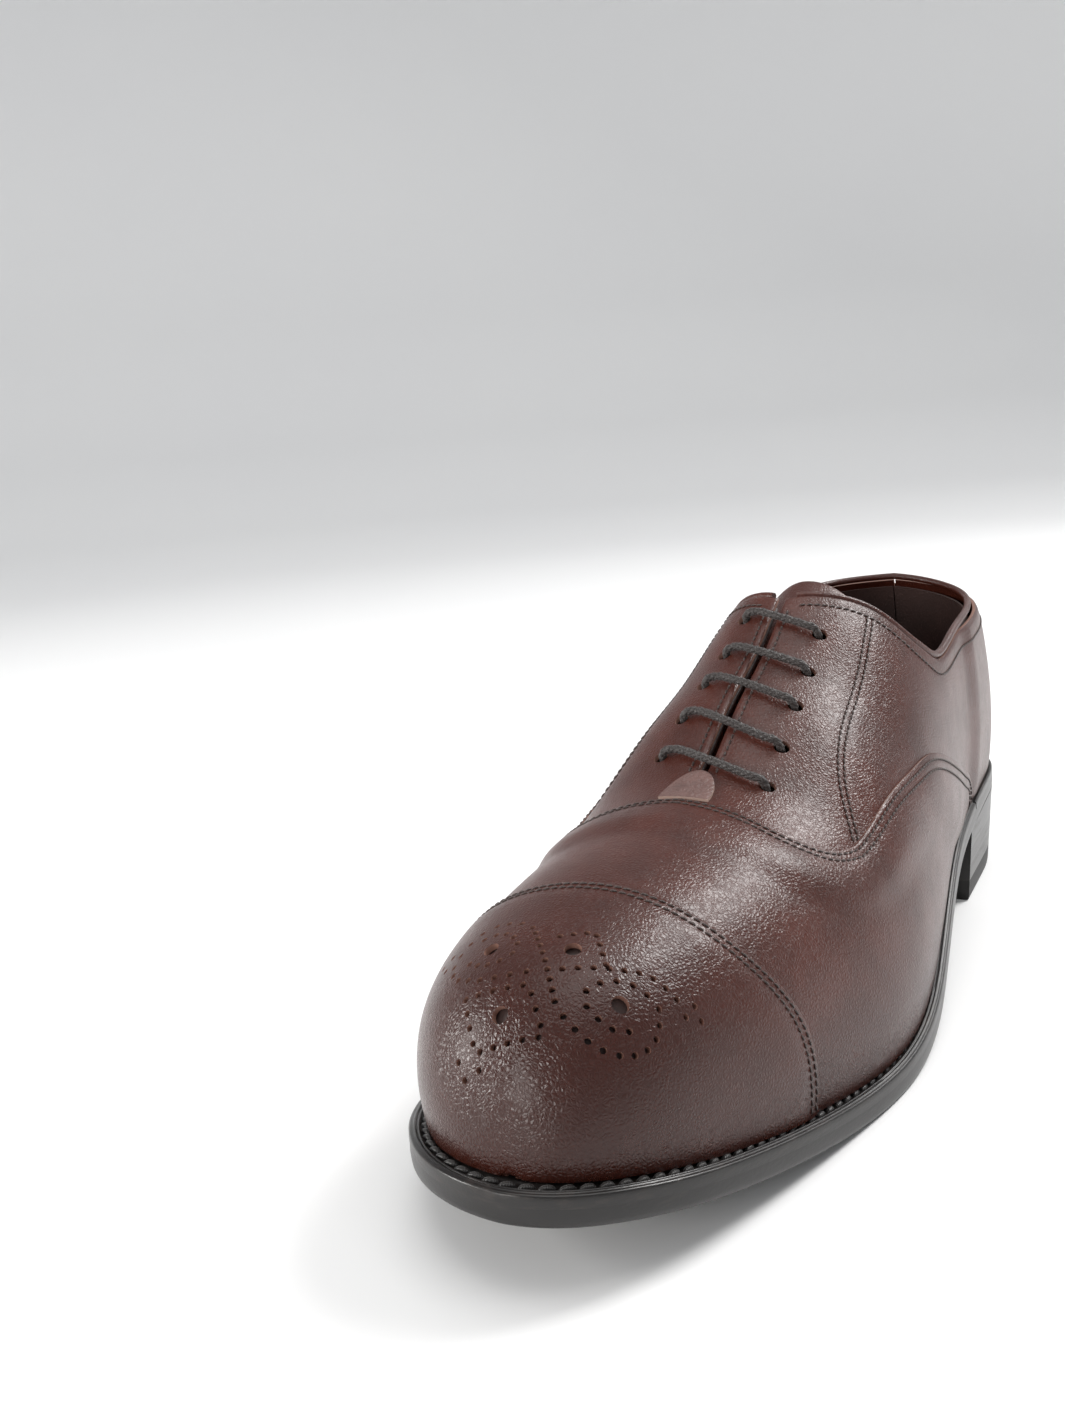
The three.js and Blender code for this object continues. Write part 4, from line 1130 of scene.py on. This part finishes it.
def seam_gap(s, w):
    return distance_to([SEAM_LINE], np.stack([s, np.abs(w)], -1))


def vamp_low(s, w):
    lifted = (UPPER_THICKNESS + TIGHT) * smooth((SEAM_LAP + 10 - seam_gap(s, w)) / 9)
    return quarter_low(s, w) + lifted


def vamp_high(s, w):
    return vamp_low(s, w) + thinned(seam_gap(s, w))


def cap_gap(s, w):
    return np.abs(s - cap_seam(w))


CAP_LOW = LINING_THICKNESS + PLY_GAP + UPPER_THICKNESS + TIGHT


def cap_high(s, w):
    return CAP_LOW + thinned(cap_gap(s, w))


def quarter_high(s, w):
    return quarter_low(s, w) + UPPER_THICKNESS


def mirror(line):
    return np.asarray(line) * (1, -1)


def double_row(curve, first, gap, start=0.0, end=1.0, count=240):
    return [line_of(beside(curve, d), count, start, end) for d in (first, first + gap)]


def vamp_rows(sizes):
    rows = double_row(whole_seam, 1.3, sizes.row_gap / MM, 0.02, 1)
    return [*rows, *(mirror(r) for r in rows)]


def cap_rows(sizes):
    gap = sizes.row_gap / MM
    return [cap_line(np.linspace(0.01, 0.99, 240)) + (1.3 + gap * k, 0) for k in (0, 1)]


class SHOE_OT_vamp(bpy.types.Operator):
    """Cut the vamp: a saddle behind the cap with two wings that run back to the heel"""

    bl_idname = "shoe.vamp"
    bl_label = "Vamp"

    def execute(self, context):
        sizes = context.scene.shoe_sizes
        half = np.vstack([line_of(throat, 40)[::-1], line_of(wing, 110)[::-1][1:]])
        foot = [(s, 1) for s in np.arange(half[-1, 0] + 1.5, cap_seam(1.0) + SEAM_LAP, 1.6)]
        front = np.array([(cap_seam(w) + SEAM_LAP, w) for w in np.linspace(1, -1, 110)])
        half = np.vstack([half, foot])
        outline = np.vstack([half, front, mirror(half)[::-1][:-1]])
        vamp = leather("vamp_calf", outline, vamp_low, vamp_high, [calf(), raw_edge()], sizes.mesh_step,
                       rows=vamp_rows(sizes))
        bend_at_ball(vamp)
        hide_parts("vamp")
        return {"FINISHED"}


MEDALLION_X, MEDALLION_W = 274, 0.02
# The rosette's lines of small holes, as the pitch and the corners, (ahead, aside) in mm from its middle.
MEDALLION_LINES = [
    (2.9, [(8, -14), (5, -1.5), (13, 4), (17.5, -9), (8, -14)]),
    (2.3, [(-6.5, -0.5), (-9.5, 5), (-2.8, 9.3)]),
    (2.15, [(-8.5, -7), (-7, -5.7), (0, -0.5), (7, 4)]),
    (2.9, [(9, 6.2), (11.3, 10.5), (11.8, 14.5), (10.8, 18.3), (8, 20.9), (3.5, 22), (-0.6, 20), (-1.9, 16),
           (-1, 12.5), (1.5, 9.3), (4, 8), (6.6, 9.5), (8, 13.8), (6.6, 17)]),
    (2.6, [(1, 3), (-2, 9.5), (-5, 15.5), (-5.5, 18), (-4.8, 22.2)]),
    (3, [(2.7, -3), (4, -8), (4.5, -13), (3.5, -18), (0.5, -22), (-5, -22), (-9, -19.5), (-10.8, -15),
         (-10, -10)]),
    (2.7, [(0, -17), (1.3, -13.5), (1, -10.3), (-1, -7.7), (-4, -8), (-6.6, -10.5), (-7.4, -13.5),
           (-6.6, -17)]),
]
MEDALLION_TAILS = [(19, -13), (20.2, -7.8), (22, -11), (-6.5, 25.6), (-3.2, 25), (-5.1, 28), (-5.5, -25.5),
                   (-1.8, -25.5), (-4, -28)]
MEDALLION_BIG = [(10.8, -5.2), (-3.8, 3), (3.2, 14), (-2.8, -13.2)]


def dotted(points, pitch):
    """Evenly spaced places along a line of (ahead, aside) points, in mm, its end left out when it closes."""
    points = np.asarray(points, float)
    closed = np.allclose(points[0], points[-1])
    length = np.concatenate([[0], np.cumsum(np.linalg.norm(np.diff(points, axis=0), axis=1))])
    count = max(round(length[-1] / pitch), 2)
    marks = np.linspace(0, length[-1], count + 1)[: count if closed else count + 1]
    return np.stack([np.interp(marks, length, points[:, k]) for k in (0, 1)], 1)


def medallion():
    """The punched rosette's small holes and large holes, as (ahead, aside) in mm."""
    small = [dotted(line, pitch) for pitch, line in MEDALLION_LINES]
    return np.vstack([*small, MEDALLION_TAILS]), np.array(MEDALLION_BIG, float)


class SHOE_OT_toe_cap(bpy.types.Operator):
    """Cut the toe cap and punch its medallion"""

    bl_idname = "shoe.toe_cap"
    bl_label = "Toe Cap"

    def execute(self, context):
        sizes = context.scene.shoe_sizes
        back = cap_line(np.linspace(0, 1, 130))
        side = np.array([(s, 1) for s in np.arange(cap_seam(1.0) + 1.5, TOE_END - 1, 1.6)])
        tip = np.array([(TOE_END, w) for w in np.linspace(1, -1, 110)])
        outline = np.vstack([back[::-1], mirror(side), tip[::-1], side[::-1]])
        holes = []
        centre = (float(place(MEDALLION_X)), MEDALLION_W)
        for group, radius, count in zip(medallion(), (sizes.punch_radius, sizes.big_punch_radius), (9, 16)):
            s, w = walk(*centre, group[:, 0], group[:, 1], 14)
            holes += [ring_at(a, b, radius / MM, count) for a, b in zip(s, w)]
        cap = leather("toe_cap_calf", outline, level(CAP_LOW), cap_high,
                      [calf(), raw_edge()], sizes.mesh_step, holes=holes, rows=cap_rows(sizes))
        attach(cap, "toe")
        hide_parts("toe_cap")
        return {"FINISHED"}


def quarter_outline(topline, step=1.4):
    top = top_edge(topline)
    lap = beside(whole_seam, SEAM_LAP)
    lap_start = float(lap(0.02)[0])
    lap_w = w_along(lap, 0.02, 0.99)
    front = float(place(THROAT_X)) + SEAM_LAP * 0.93
    facing_top = float(place(FACING_TOP_X))
    near_corner = np.linspace(facing_top - 10, facing_top, 24)
    s = np.unique(np.concatenate([np.arange(BACK_GAP, front, step), near_corner, [front]]))
    upper = np.column_stack([s, top(s)])
    lower = np.column_stack([s, np.where(s < lap_start, 1, np.minimum(1, lap_w(s)))])
    fore = np.linspace(upper[-1], lower[-1], 14)[1:-1]
    back = np.linspace(lower[0], upper[0], 30)[1:-1]
    return np.vstack([upper, fore, lower[::-1], back])


FANCY_ROW = seam([(129, 0.262), (143, 0.284), (156, 0.289), (168, 0.3), (178, 0.335), (185, 0.39),
                  (190, 0.44)])


def quarter_rows(topline, sizes):
    gap = sizes.row_gap / MM
    facing = np.column_stack([np.linspace(place(FACING_TOP_X + 4), place(THROAT_X - 13), 120),
                              np.full(120, FACING_GAP + FACING_ROW_INSET / ACROSS_LENGTH)])
    top = line_of(beside(topline, 3.1), 320, 0.046, 0.972)
    fancy = [line_of(beside(FANCY_ROW, d), 160) for d in (0, gap)]
    return [facing, top, *fancy]


def eyelet_at(row, sign):
    """The eyelet's place and w; rows count up from the throat and slant a little."""
    t = (row - 1) / (EYELET_COUNT - 1)
    return (mix(187.5 + 3.5 * sign, 141 + 1.5 * sign, t), mix(0.158 + 0.014 * sign, 0.125 + 0.022 * sign, t))


def eyelet_rings(sign, radius, count):
    rows = [eyelet_at(row, sign) for row in range(1, EYELET_COUNT + 1)]
    return [ring_at(float(place(x)), sign * w, radius, count) for x, w in rows]


class SHOE_OT_quarters(bpy.types.Operator):
    """Cut both quarters and punch their lace holes"""

    bl_idname = "shoe.quarters"
    bl_label = "Quarters"

    def execute(self, context):
        sizes = context.scene.shoe_sizes
        for side, sign, topline in SIDES:
            outline = quarter_outline(topline) * (1, sign)
            holes = eyelet_rings(sign, sizes.lace_hole_radius / MM, 16)
            rows = [r * (1, sign) for r in quarter_rows(topline, sizes)]
            quarter = leather(f"quarter_{side}_calf", outline, quarter_low, quarter_high,
                              [calf(), raw_edge()], sizes.mesh_step, holes=holes, rows=rows)
            bend_at_ball(quarter)
            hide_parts(f"quarter_{side}")
        return {"FINISHED"}


class SHOE_OT_linings(bpy.types.Operator):
    """Cut the quarter linings and the vamp lining"""

    bl_idname = "shoe.linings"
    bl_label = "Linings"

    def execute(self, context):
        sizes = context.scene.shoe_sizes
        for side, sign, topline in SIDES:
            top = top_edge(topline)
            front = float(lining_seam(FACING_GAP)) - 0.1
            foot = float(lining_seam(1)) - 0.1
            s = np.arange(BACK_GAP, front, 2.4)
            lower = 1 / ACROSS_LENGTH
            upper = np.column_stack([s, top(s) + np.where(s < place(FACING_TOP_X), lower, 0)])
            fore = np.linspace((front, FACING_GAP), (foot, 1), 40)
            under = np.array([(v, 1) for v in np.arange(BACK_GAP, foot - 1, 2.4)])[::-1]
            back = np.linspace((BACK_GAP, 1), upper[0], 16)[1:-1]
            outline = np.vstack([upper, fore, under, back]) * (1, sign)
            holes = eyelet_rings(sign, 3.1, 14)
            piece = leather(f"quarter_lining_{side}_leather", outline, level(0), level(LINING_THICKNESS),
                            [lining_leather()], sizes.lining_step, holes=holes)
            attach(piece, "shoe")
            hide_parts(f"quarter_lining_{side}")
        back = np.array([(float(lining_seam(w)) + 0.6, w) for w in np.linspace(-1, 1, 70)])
        edge = np.array([(s, 1) for s in np.arange(float(lining_seam(1)) + 3, TOE_END - 1, 3)])
        tip = np.array([(TOE_END, w) for w in np.linspace(1, -1, 60)])
        outline = np.vstack([back, edge, tip, mirror(edge)[::-1]])
        piece = leather("vamp_lining_leather", outline, level(-LINING_EASE),
                        level(LINING_THICKNESS - LINING_EASE), [lining_leather()], sizes.lining_step)
        bend_at_ball(piece)
        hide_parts("vamp_lining")
        return {"FINISHED"}


STRIP_LENGTH, STRIP_HALF_WIDTH, STRIP_THICKNESS = 17, 7.5, 0.85


def back_top():
    return float(w_along(SIDES[0][2])(0.0))


def strip_outline(inset=0.0):
    """The dog-tail over the back seam: straight sides that draw in to a rounded point."""
    half = STRIP_HALF_WIDTH - inset
    depth = (STRIP_LENGTH - inset) / ACROSS_LENGTH
    top = back_top() + 0.012
    angle = np.linspace(0, math.pi, 40)
    q = half * np.cos(angle)
    w = back_top() + depth * (0.45 + 0.55 * np.sin(angle) ** 0.8)
    rim = np.column_stack([q, w])
    return np.vstack([np.linspace((-half, top), (half, top), 16), rim])


def on_quarter(s, w):
    return quarter_low(s, w) + UPPER_THICKNESS + TIGHT


def strip_high(s, w):
    return on_quarter(s, w) + STRIP_THICKNESS


def tab_high(s, w):
    return on_quarter(s, w) + TAB_THICKNESS


class SHOE_OT_back_strip(bpy.types.Operator):
    """Cover the top of the back seam with its dog-tail strip"""

    bl_idname = "shoe.back_strip"
    bl_label = "Back Strip"

    def execute(self, context):
        sizes = context.scene.shoe_sizes
        strip = leather("back_strip_calf", strip_outline(), on_quarter, strip_high, [calf(), raw_edge()], 1.2)
        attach(strip, "shoe")
        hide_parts("back_strip")
        row = strip_outline(1.4)[16:]
        threads = seam_threads("back_strip_stitches", [row], strip_high, upper_thread(), sizes)
        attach(threads, "shoe")
        return {"FINISHED"}


TAB_LENGTH, TAB_REACH, TAB_THICKNESS = 12.3, 0.068, 0.9


class SHOE_OT_throat_tab(bpy.types.Operator):
    """Set the half-moon tab at the foot of the facings"""

    bl_idname = "shoe.throat_tab"
    bl_label = "Throat Tab"

    def execute(self, context):
        angle = np.linspace(0, math.pi, 44)
        foot = float(place(THROAT_X)) - 0.4
        reach = TAB_REACH * 0.94
        rim = np.column_stack([foot - TAB_LENGTH * np.sin(angle), reach * np.cos(angle)])
        base = np.linspace((foot, -reach), (foot, reach), 16)[1:-1]
        wrinkled = leather_material("tab_calf", (0.15, 0.085, 0.075), 0.5, 620.0, 0.0003, spread=0.35)
        pale = edge_material("tab_edge", (0.4, 0.28, 0.23), (0.5, 0.37, 0.32), 0.6, 0.6, 400.0)
        tab = leather("throat_tab_calf", np.vstack([rim, base]), on_quarter, tab_high, [wrinkled, pale], 0.9,
                      round_edge=0.15)
        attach(tab, "shoe")
        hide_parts("throat_tab")
        return {"FINISHED"}


TONGUE_TOP_X, TONGUE_LOW, TONGUE_THICKNESS = 117, -6.7, 1.6


class SHOE_OT_tongue(bpy.types.Operator):
    """Hang the tongue inside the facings"""

    bl_idname = "shoe.tongue"
    bl_label = "Tongue"

    def execute(self, context):
        top, foot = float(place(TONGUE_TOP_X)), float(place(THROAT_X + 5))
        t = np.linspace(0, 1, 60)
        reach = mix(0.31, 0.25, t) * np.sqrt(1 - (1 - np.minimum(1, t * 5 + 0.25)) ** 2)
        right = np.column_stack([mix(top, foot, t), reach])
        ends = [np.linspace((foot, reach[-1]), (foot, -reach[-1]), 24)[1:-1],
                np.linspace((top, -reach[0]), (top, reach[0]), 20)[1:-1]]
        outline = np.vstack([right, ends[0], mirror(right)[::-1], ends[1]])
        tongue = leather("tongue_calf", outline, level(TONGUE_LOW), level(TONGUE_LOW + TONGUE_THICKNESS),
                         [calf(), raw_edge()], 2.4)
        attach(tongue, "tongue_flap")
        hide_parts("tongue")
        return {"FINISHED"}


def frames_along(points):
    """Unit tangents and two even normals along a line, without twist."""
    tangents = unit(np.gradient(points, axis=0))
    side = np.array([0.0, 0.0, 1.0])
    sides = []
    for t in tangents:
        side = side - t * (side @ t)
        side = side / np.linalg.norm(side)
        sides.append(side)
    sides = np.array(sides)
    return tangents, sides, np.cross(tangents, sides)


def catmull(points, count):
    """Points along a centripetal Catmull-Rom curve."""
    p = np.vstack([2 * points[0] - points[1], points, 2 * points[-1] - points[-2]])
    u = np.linspace(0, len(points) - 1, count)
    k = np.minimum(u.astype(int), len(points) - 2)
    f = (u - k)[:, None]
    q = [p[k + n] for n in range(4)]
    gaps = [np.maximum(np.linalg.norm(b - a, axis=1, keepdims=True), 1e-6) ** 0.5 for a, b in zip(q, q[1:])]
    ahead = (q[2] - q[1]) / gaps[1]
    start = gaps[1] * ((q[1] - q[0]) / gaps[0] - (q[2] - q[0]) / (gaps[0] + gaps[1]) + ahead)
    end = gaps[1] * (ahead - (q[3] - q[1]) / (gaps[1] + gaps[2]) + (q[3] - q[2]) / gaps[2])
    return ((2 * f**3 - 3 * f**2 + 1) * q[1] + (f**3 - 2 * f**2 + f) * start
            + (3 * f**2 - 2 * f**3) * q[2] + (f**3 - f**2) * end)


BINDING_RADIUS = 1.1


class SHOE_OT_collar(bpy.types.Operator):
    """Roll the binding round the mouth"""

    bl_idname = "shoe.collar"
    bl_label = "Collar Binding"

    def execute(self, context):
        half = []
        for _, sign, topline in SIDES:
            line = line_of(beside(topline, -BINDING_RADIUS + 0.1), 200, 0.0, 0.985)
            half.append(leather_point(line[:, 0], sign * line[:, 1], LINING_THICKNESS + 0.75))
        route = np.vstack([half[0][::-1], half[1][1:]])
        marks = spaced(route, 1.0)
        route = resampled(route, marks)
        _, sides, ups = frames_along(route)
        angle = np.arange(14) * 2 * math.pi / 14
        ring = (sides[:, None] * np.cos(angle)[None, :, None] + ups[:, None] * np.sin(angle)[None, :, None])
        points, faces = loft(route[:, None] + ring * BINDING_RADIUS)
        bead = add_mesh("collar_bead", points, faces, [calf()], sharp=70)
        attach(bead, "shoe")
        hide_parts("collar_binding")
        return {"FINISHED"}


# The braid: mm between its sections, for one turn of a strand, and for one crossing.
LACE_STEP, STRAND_TURN, WEAVE_PITCH = 0.34, 7.2, 1.8

# The lace's route, as [x, w, offset]: straight bars outside, slanting runs inside.
INSIDE = -2.9
ON_TOP = LINING_THICKNESS + PLY_GAP + UPPER_THICKNESS + GAP + 1.2


def lace_hole(row, sign, outwards):
    x, w = eyelet_at(row, sign)
    rise = [(0, INSIDE), (0, 0.2), (0.004, 2.4), (0.02, ON_TOP), (0.05, ON_TOP + 0.2)]
    points = [(x, sign * (w - inwards), offset) for inwards, offset in rise]
    return points if outwards else points[::-1]


def lace_bar(row, sign):
    middle = (eyelet_at(row, 1)[0] + eyelet_at(row, -1)[0]) / 2
    return [*lace_hole(row, sign, True), (middle, 0, ON_TOP + 0.2), *lace_hole(row, -sign, False)]


def lace_detour(start, past, end, sign, aside):
    """Inside the shoe the lace runs past an eyelet, nearer the ridge (aside < 0) or further off."""
    x, reach = eyelet_at(past, sign)
    w = sign * (reach + aside)
    ways = [(mix(eyelet_at(row, sign)[0], x, 0.5), mix(sign * eyelet_at(row, sign)[1], w, 0.6), INSIDE)
            for row in (start, end)]
    return [ways[0], (x, w, INSIDE), ways[1]]


def lace_route():
    first, last = eyelet_at(5, -1)[0], eyelet_at(5, 1)[0]
    stops = [(first - 3, -0.06, INSIDE - 0.3), (first + 2, -0.055, INSIDE), (first + 6, -0.075, INSIDE),
             *lace_bar(4, -1), *lace_detour(4, 3, 2, 1, -0.05), *lace_bar(2, 1), *lace_bar(1, -1),
             *lace_detour(1, 2, 3, 1, 0.05), *lace_bar(3, 1), *lace_detour(3, 4, 5, -1, 0.05),
             *lace_bar(5, -1), (last - 7, 0.19, INSIDE), (last - 11, 0.24, INSIDE)]
    x, w, offset = np.array(stops).T
    return leather_point(place(x), w, offset)


class SHOE_OT_lace(bpy.types.Operator):
    """Braid the round lace along its bars"""

    bl_idname = "shoe.lace"
    bl_label = "Lace"

    def execute(self, context):
        radius = context.scene.shoe_sizes.lace_radius / MM
        route = catmull(lace_route(), 2400)
        marks = spaced(route, LACE_STEP)
        route = resampled(route, marks)
        _, sides, ups = frames_along(route)
        length = np.arange(len(route)) * LACE_STEP
        strand = radius * 0.43
        points, faces = [], []
        ring = np.arange(6) * math.pi / 3
        for way in (1, -1):
            for k in range(4):
                turn = way * length * 2 * math.pi / STRAND_TURN + k * math.pi / 2
                phase = (k * way + (way > 0)) * math.pi
                weave = 0.5 + 0.5 * np.cos(length * 2 * math.pi / WEAVE_PITCH + phase)
                away = radius - strand * (0.95 + 0.45 * weave)
                out = sides * np.cos(turn)[:, None] + ups * np.sin(turn)[:, None]
                centre = route + out * away[:, None]
                over = np.cross(unit(np.gradient(centre, axis=0)), out)
                loops = (centre[:, None] + out[:, None] * np.cos(ring)[None, :, None] * strand * 0.8
                         + over[:, None] * np.sin(ring)[None, :, None] * strand * 1.15)
                p, f = loft(loops)
                base = sum(len(v) for v in points)
                points.append(p)
                faces += [tuple(v + base for v in face) for face in f]
        cotton = thread_material("waxed_cotton", context.scene.shoe_colours.lace, 0.42, 1500.0)
        lace = add_mesh("lace_braid", np.vstack(points), faces, [cotton], sharp=180)
        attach(lace, "shoe")
        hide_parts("lace")
        return {"FINISHED"}


class SHOE_OT_seams(bpy.types.Operator):
    """Sew the rows of stitching on the upper"""

    bl_idname = "shoe.seams"
    bl_label = "Seams"

    def execute(self, context):
        sizes = context.scene.shoe_sizes
        thread = upper_thread()
        rows = vamp_rows(sizes)
        seam_rows = seam_threads("vamp_stitches", rows, vamp_high, thread, sizes)
        bend_at_ball(seam_rows)
        cap = seam_threads("toe_cap_stitches", cap_rows(sizes), cap_high, thread, sizes)
        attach(cap, "toe")
        for side, sign, topline in SIDES:
            lines = [r * (1, sign) for r in quarter_rows(topline, sizes)]
            back = np.column_stack([np.full(90, 1.7), np.linspace(back_top() + 0.19, 0.985, 90)]) * (1, sign)
            quarter = seam_threads(f"quarter_{side}_stitches", [*lines, back], quarter_high, thread, sizes)
            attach(quarter, "shoe")
        return {"FINISHED"}


class SHOE_OT_hidden_parts(bpy.types.Operator):
    """Finish the parts between and inside the leathers: shank, counter, puff and eyelets"""

    bl_idname = "shoe.hidden_parts"
    bl_label = "Hidden Parts"

    def execute(self, context):
        lining = context.scene.shoe_colours.lining
        board = edge_material("stiffener_board", rgba(lining, 1.1), rgba(lining, 2.2), 0.5, 0.6)
        steel = edge_material("shank_steel", (0.32, 0.33, 0.34), (0.5, 0.5, 0.5), 0.3, 0.5)
        steel.node_tree.nodes["Principled BSDF"].inputs["Metallic"].default_value = 1.0
        finishes = {"heel_counter": board, "toe_puff": board, "shank": steel}
        for name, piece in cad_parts.items():
            if name.startswith("eyelet_"):
                finishes[name] = metal_material()
        for name, material in finishes.items():
            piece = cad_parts[name]
            piece.data.materials.clear()
            piece.data.materials.append(material)
        return {"FINISHED"}


# ------------------------------------------------------------------ stage
CAMERA_AIM = (169.9, -60.63, 80.36)
CAMERA_AZIMUTH, CAMERA_ELEVATION, CAMERA_ROLL = 118.33, 11.49, -4.59
CAMERA_DISTANCE = 370.27
CAMERA_LENS = 34.49


def add_light(name, kind, place_, aim, energy, size, colour):
    lamp = bpy.data.lights.new(name, kind)
    lamp.energy = energy
    lamp.color = colour
    if kind == "AREA":
        lamp.shape = "RECTANGLE"
        lamp.size, lamp.size_y = size
    holder = bpy.data.objects.new(name, lamp)
    holder.location = place_
    holder.rotation_mode = "QUATERNION"
    holder.rotation_quaternion = (Vector(aim) - Vector(place_)).to_track_quat("-Z", "Y")
    holder.visible_camera = False
    bpy.context.scene.collection.objects.link(holder)
    return holder


class SHOE_OT_stage(bpy.types.Operator):
    """Set the camera, the pale sweep and the soft lights"""

    bl_idname = "shoe.stage"
    bl_label = "Stage"

    def execute(self, context):
        self.set_camera(context)
        self.lay_floor(context)
        self.hang_lights(context)
        return {"FINISHED"}

    def set_camera(self, context):
        a, e, r = (math.radians(v) for v in (CAMERA_AZIMUTH, CAMERA_ELEVATION, CAMERA_ROLL))
        back = Vector((math.sin(a) * math.cos(e), -math.cos(a) * math.cos(e), math.sin(e)))
        right = Vector((math.cos(a), math.sin(a), 0))
        up = back.cross(right)
        leaned = right * math.cos(r) + up * math.sin(r)
        upright = up * math.cos(r) - right * math.sin(r)
        aim = Vector(in_frame(CAMERA_AIM))
        data = bpy.data.cameras.new("camera")
        data.lens = CAMERA_LENS
        data.clip_start = 0.01
        camera = bpy.data.objects.new("camera", data)
        turn = Matrix((leaned, upright, back)).transposed()
        camera.matrix_world = Matrix.Translation(aim + back * CAMERA_DISTANCE * MM) @ turn.to_4x4()
        context.scene.collection.objects.link(camera)
        context.scene.camera = camera

    def lay_floor(self, context):
        """A round sweep: a flat floor that curves up to a low wall all the way round."""
        profile = [(0.0001, 0), (0.35, 0), (0.8, 0), (1.5, 0), (1.9, 0.03), (2.3, 0.15), (2.6, 0.4),
                   (2.75, 0.8), (2.8, 1.5)]
        rings = []
        for radius, height in profile:
            angle = np.arange(96) * 2 * math.pi / 96
            rings.append(np.column_stack([radius * np.cos(angle), radius * np.sin(angle),
                                          np.full(96, float(height))]))
        mesh = bpy.data.meshes.new("floor")
        mesh.from_pydata(np.vstack(rings).tolist(), [], grid_faces(len(profile), 96, False, True))
        mesh.polygons.foreach_set("use_smooth", np.ones(len(mesh.polygons), bool))
        material, tree, shader, where = start_material("pale_sweep")
        cloud = noise(tree, where, 2.0, 2.0)
        shown = mix_colour(tree, cloud.outputs["Fac"], (0.88, 0.88, 0.885, 1), (0.91, 0.91, 0.905, 1))
        shade(tree, shader, shown, 0.6, cloud.outputs["Fac"], 0.0001)
        mesh.materials.append(material)
        floor = bpy.data.objects.new("floor", mesh)
        context.scene.collection.objects.link(floor)

    def hang_lights(self, context):
        world = bpy.data.worlds.new("soft_room")
        world.use_nodes = True
        world.node_tree.nodes["Background"].inputs["Color"].default_value = (0.93, 0.96, 1.0, 1)
        world.node_tree.nodes["Background"].inputs["Strength"].default_value = 0.36
        context.scene.view_settings.view_transform = "Standard"
        context.scene.world = world
        aim = (0.03, 0, 0.04)
        add_light("skylight", "AREA", (0.1, 0.1, 1.9), aim, 16, (1.6, 1.6), (1.0, 0.99, 0.97))
        add_light("left_window", "AREA", (0.62, -1.0, 0.42), aim, 8, (0.28, 0.4), (1.0, 0.985, 0.96))
        add_light("front_window", "AREA", (1.15, -0.35, 0.35), aim, 4, (0.25, 0.3), (1.0, 0.985, 0.96))
        add_light("back_window", "AREA", (-0.85, 0.6, 1.15), aim, 20, (0.6, 0.6), (1.0, 0.99, 0.98))


OPERATORS = [
    SHOE_OT_stage, SHOE_OT_outsole, SHOE_OT_welt, SHOE_OT_heel, SHOE_OT_insole, SHOE_OT_vamp, SHOE_OT_toe_cap,
    SHOE_OT_quarters, SHOE_OT_linings, SHOE_OT_back_strip, SHOE_OT_throat_tab, SHOE_OT_tongue, SHOE_OT_collar,
    SHOE_OT_lace, SHOE_OT_seams, SHOE_OT_hidden_parts,
]


class SHOE_PT_build(bpy.types.Panel):
    bl_label = "Cap-toe Oxford"
    bl_space_type = "VIEW_3D"
    bl_region_type = "UI"
    bl_category = "Shoe"

    def draw(self, context):
        for settings in (context.scene.shoe_sizes, context.scene.shoe_colours):
            column = self.layout.column(align=True)
            for key in settings.bl_rna.properties.keys():
                if key not in {"rna_type", "name"}:
                    column.prop(settings, key)
        for operator in OPERATORS:
            self.layout.operator(operator.bl_idname)


CLASSES = [ShoeSizes, ShoeColours, *OPERATORS, SHOE_PT_build]


def register():
    for cls in CLASSES:
        bpy.utils.register_class(cls)
    bpy.types.Scene.shoe_sizes = bpy.props.PointerProperty(type=ShoeSizes)
    bpy.types.Scene.shoe_colours = bpy.props.PointerProperty(type=ShoeColours)


def unregister():
    del bpy.types.Scene.shoe_colours
    del bpy.types.Scene.shoe_sizes
    for cls in reversed(CLASSES):
        bpy.utils.unregister_class(cls)


def main():
    register()
    for operator in OPERATORS:
        getattr(bpy.ops.shoe, operator.bl_idname.split(".")[1])()


if __name__ == "__main__":
    main()
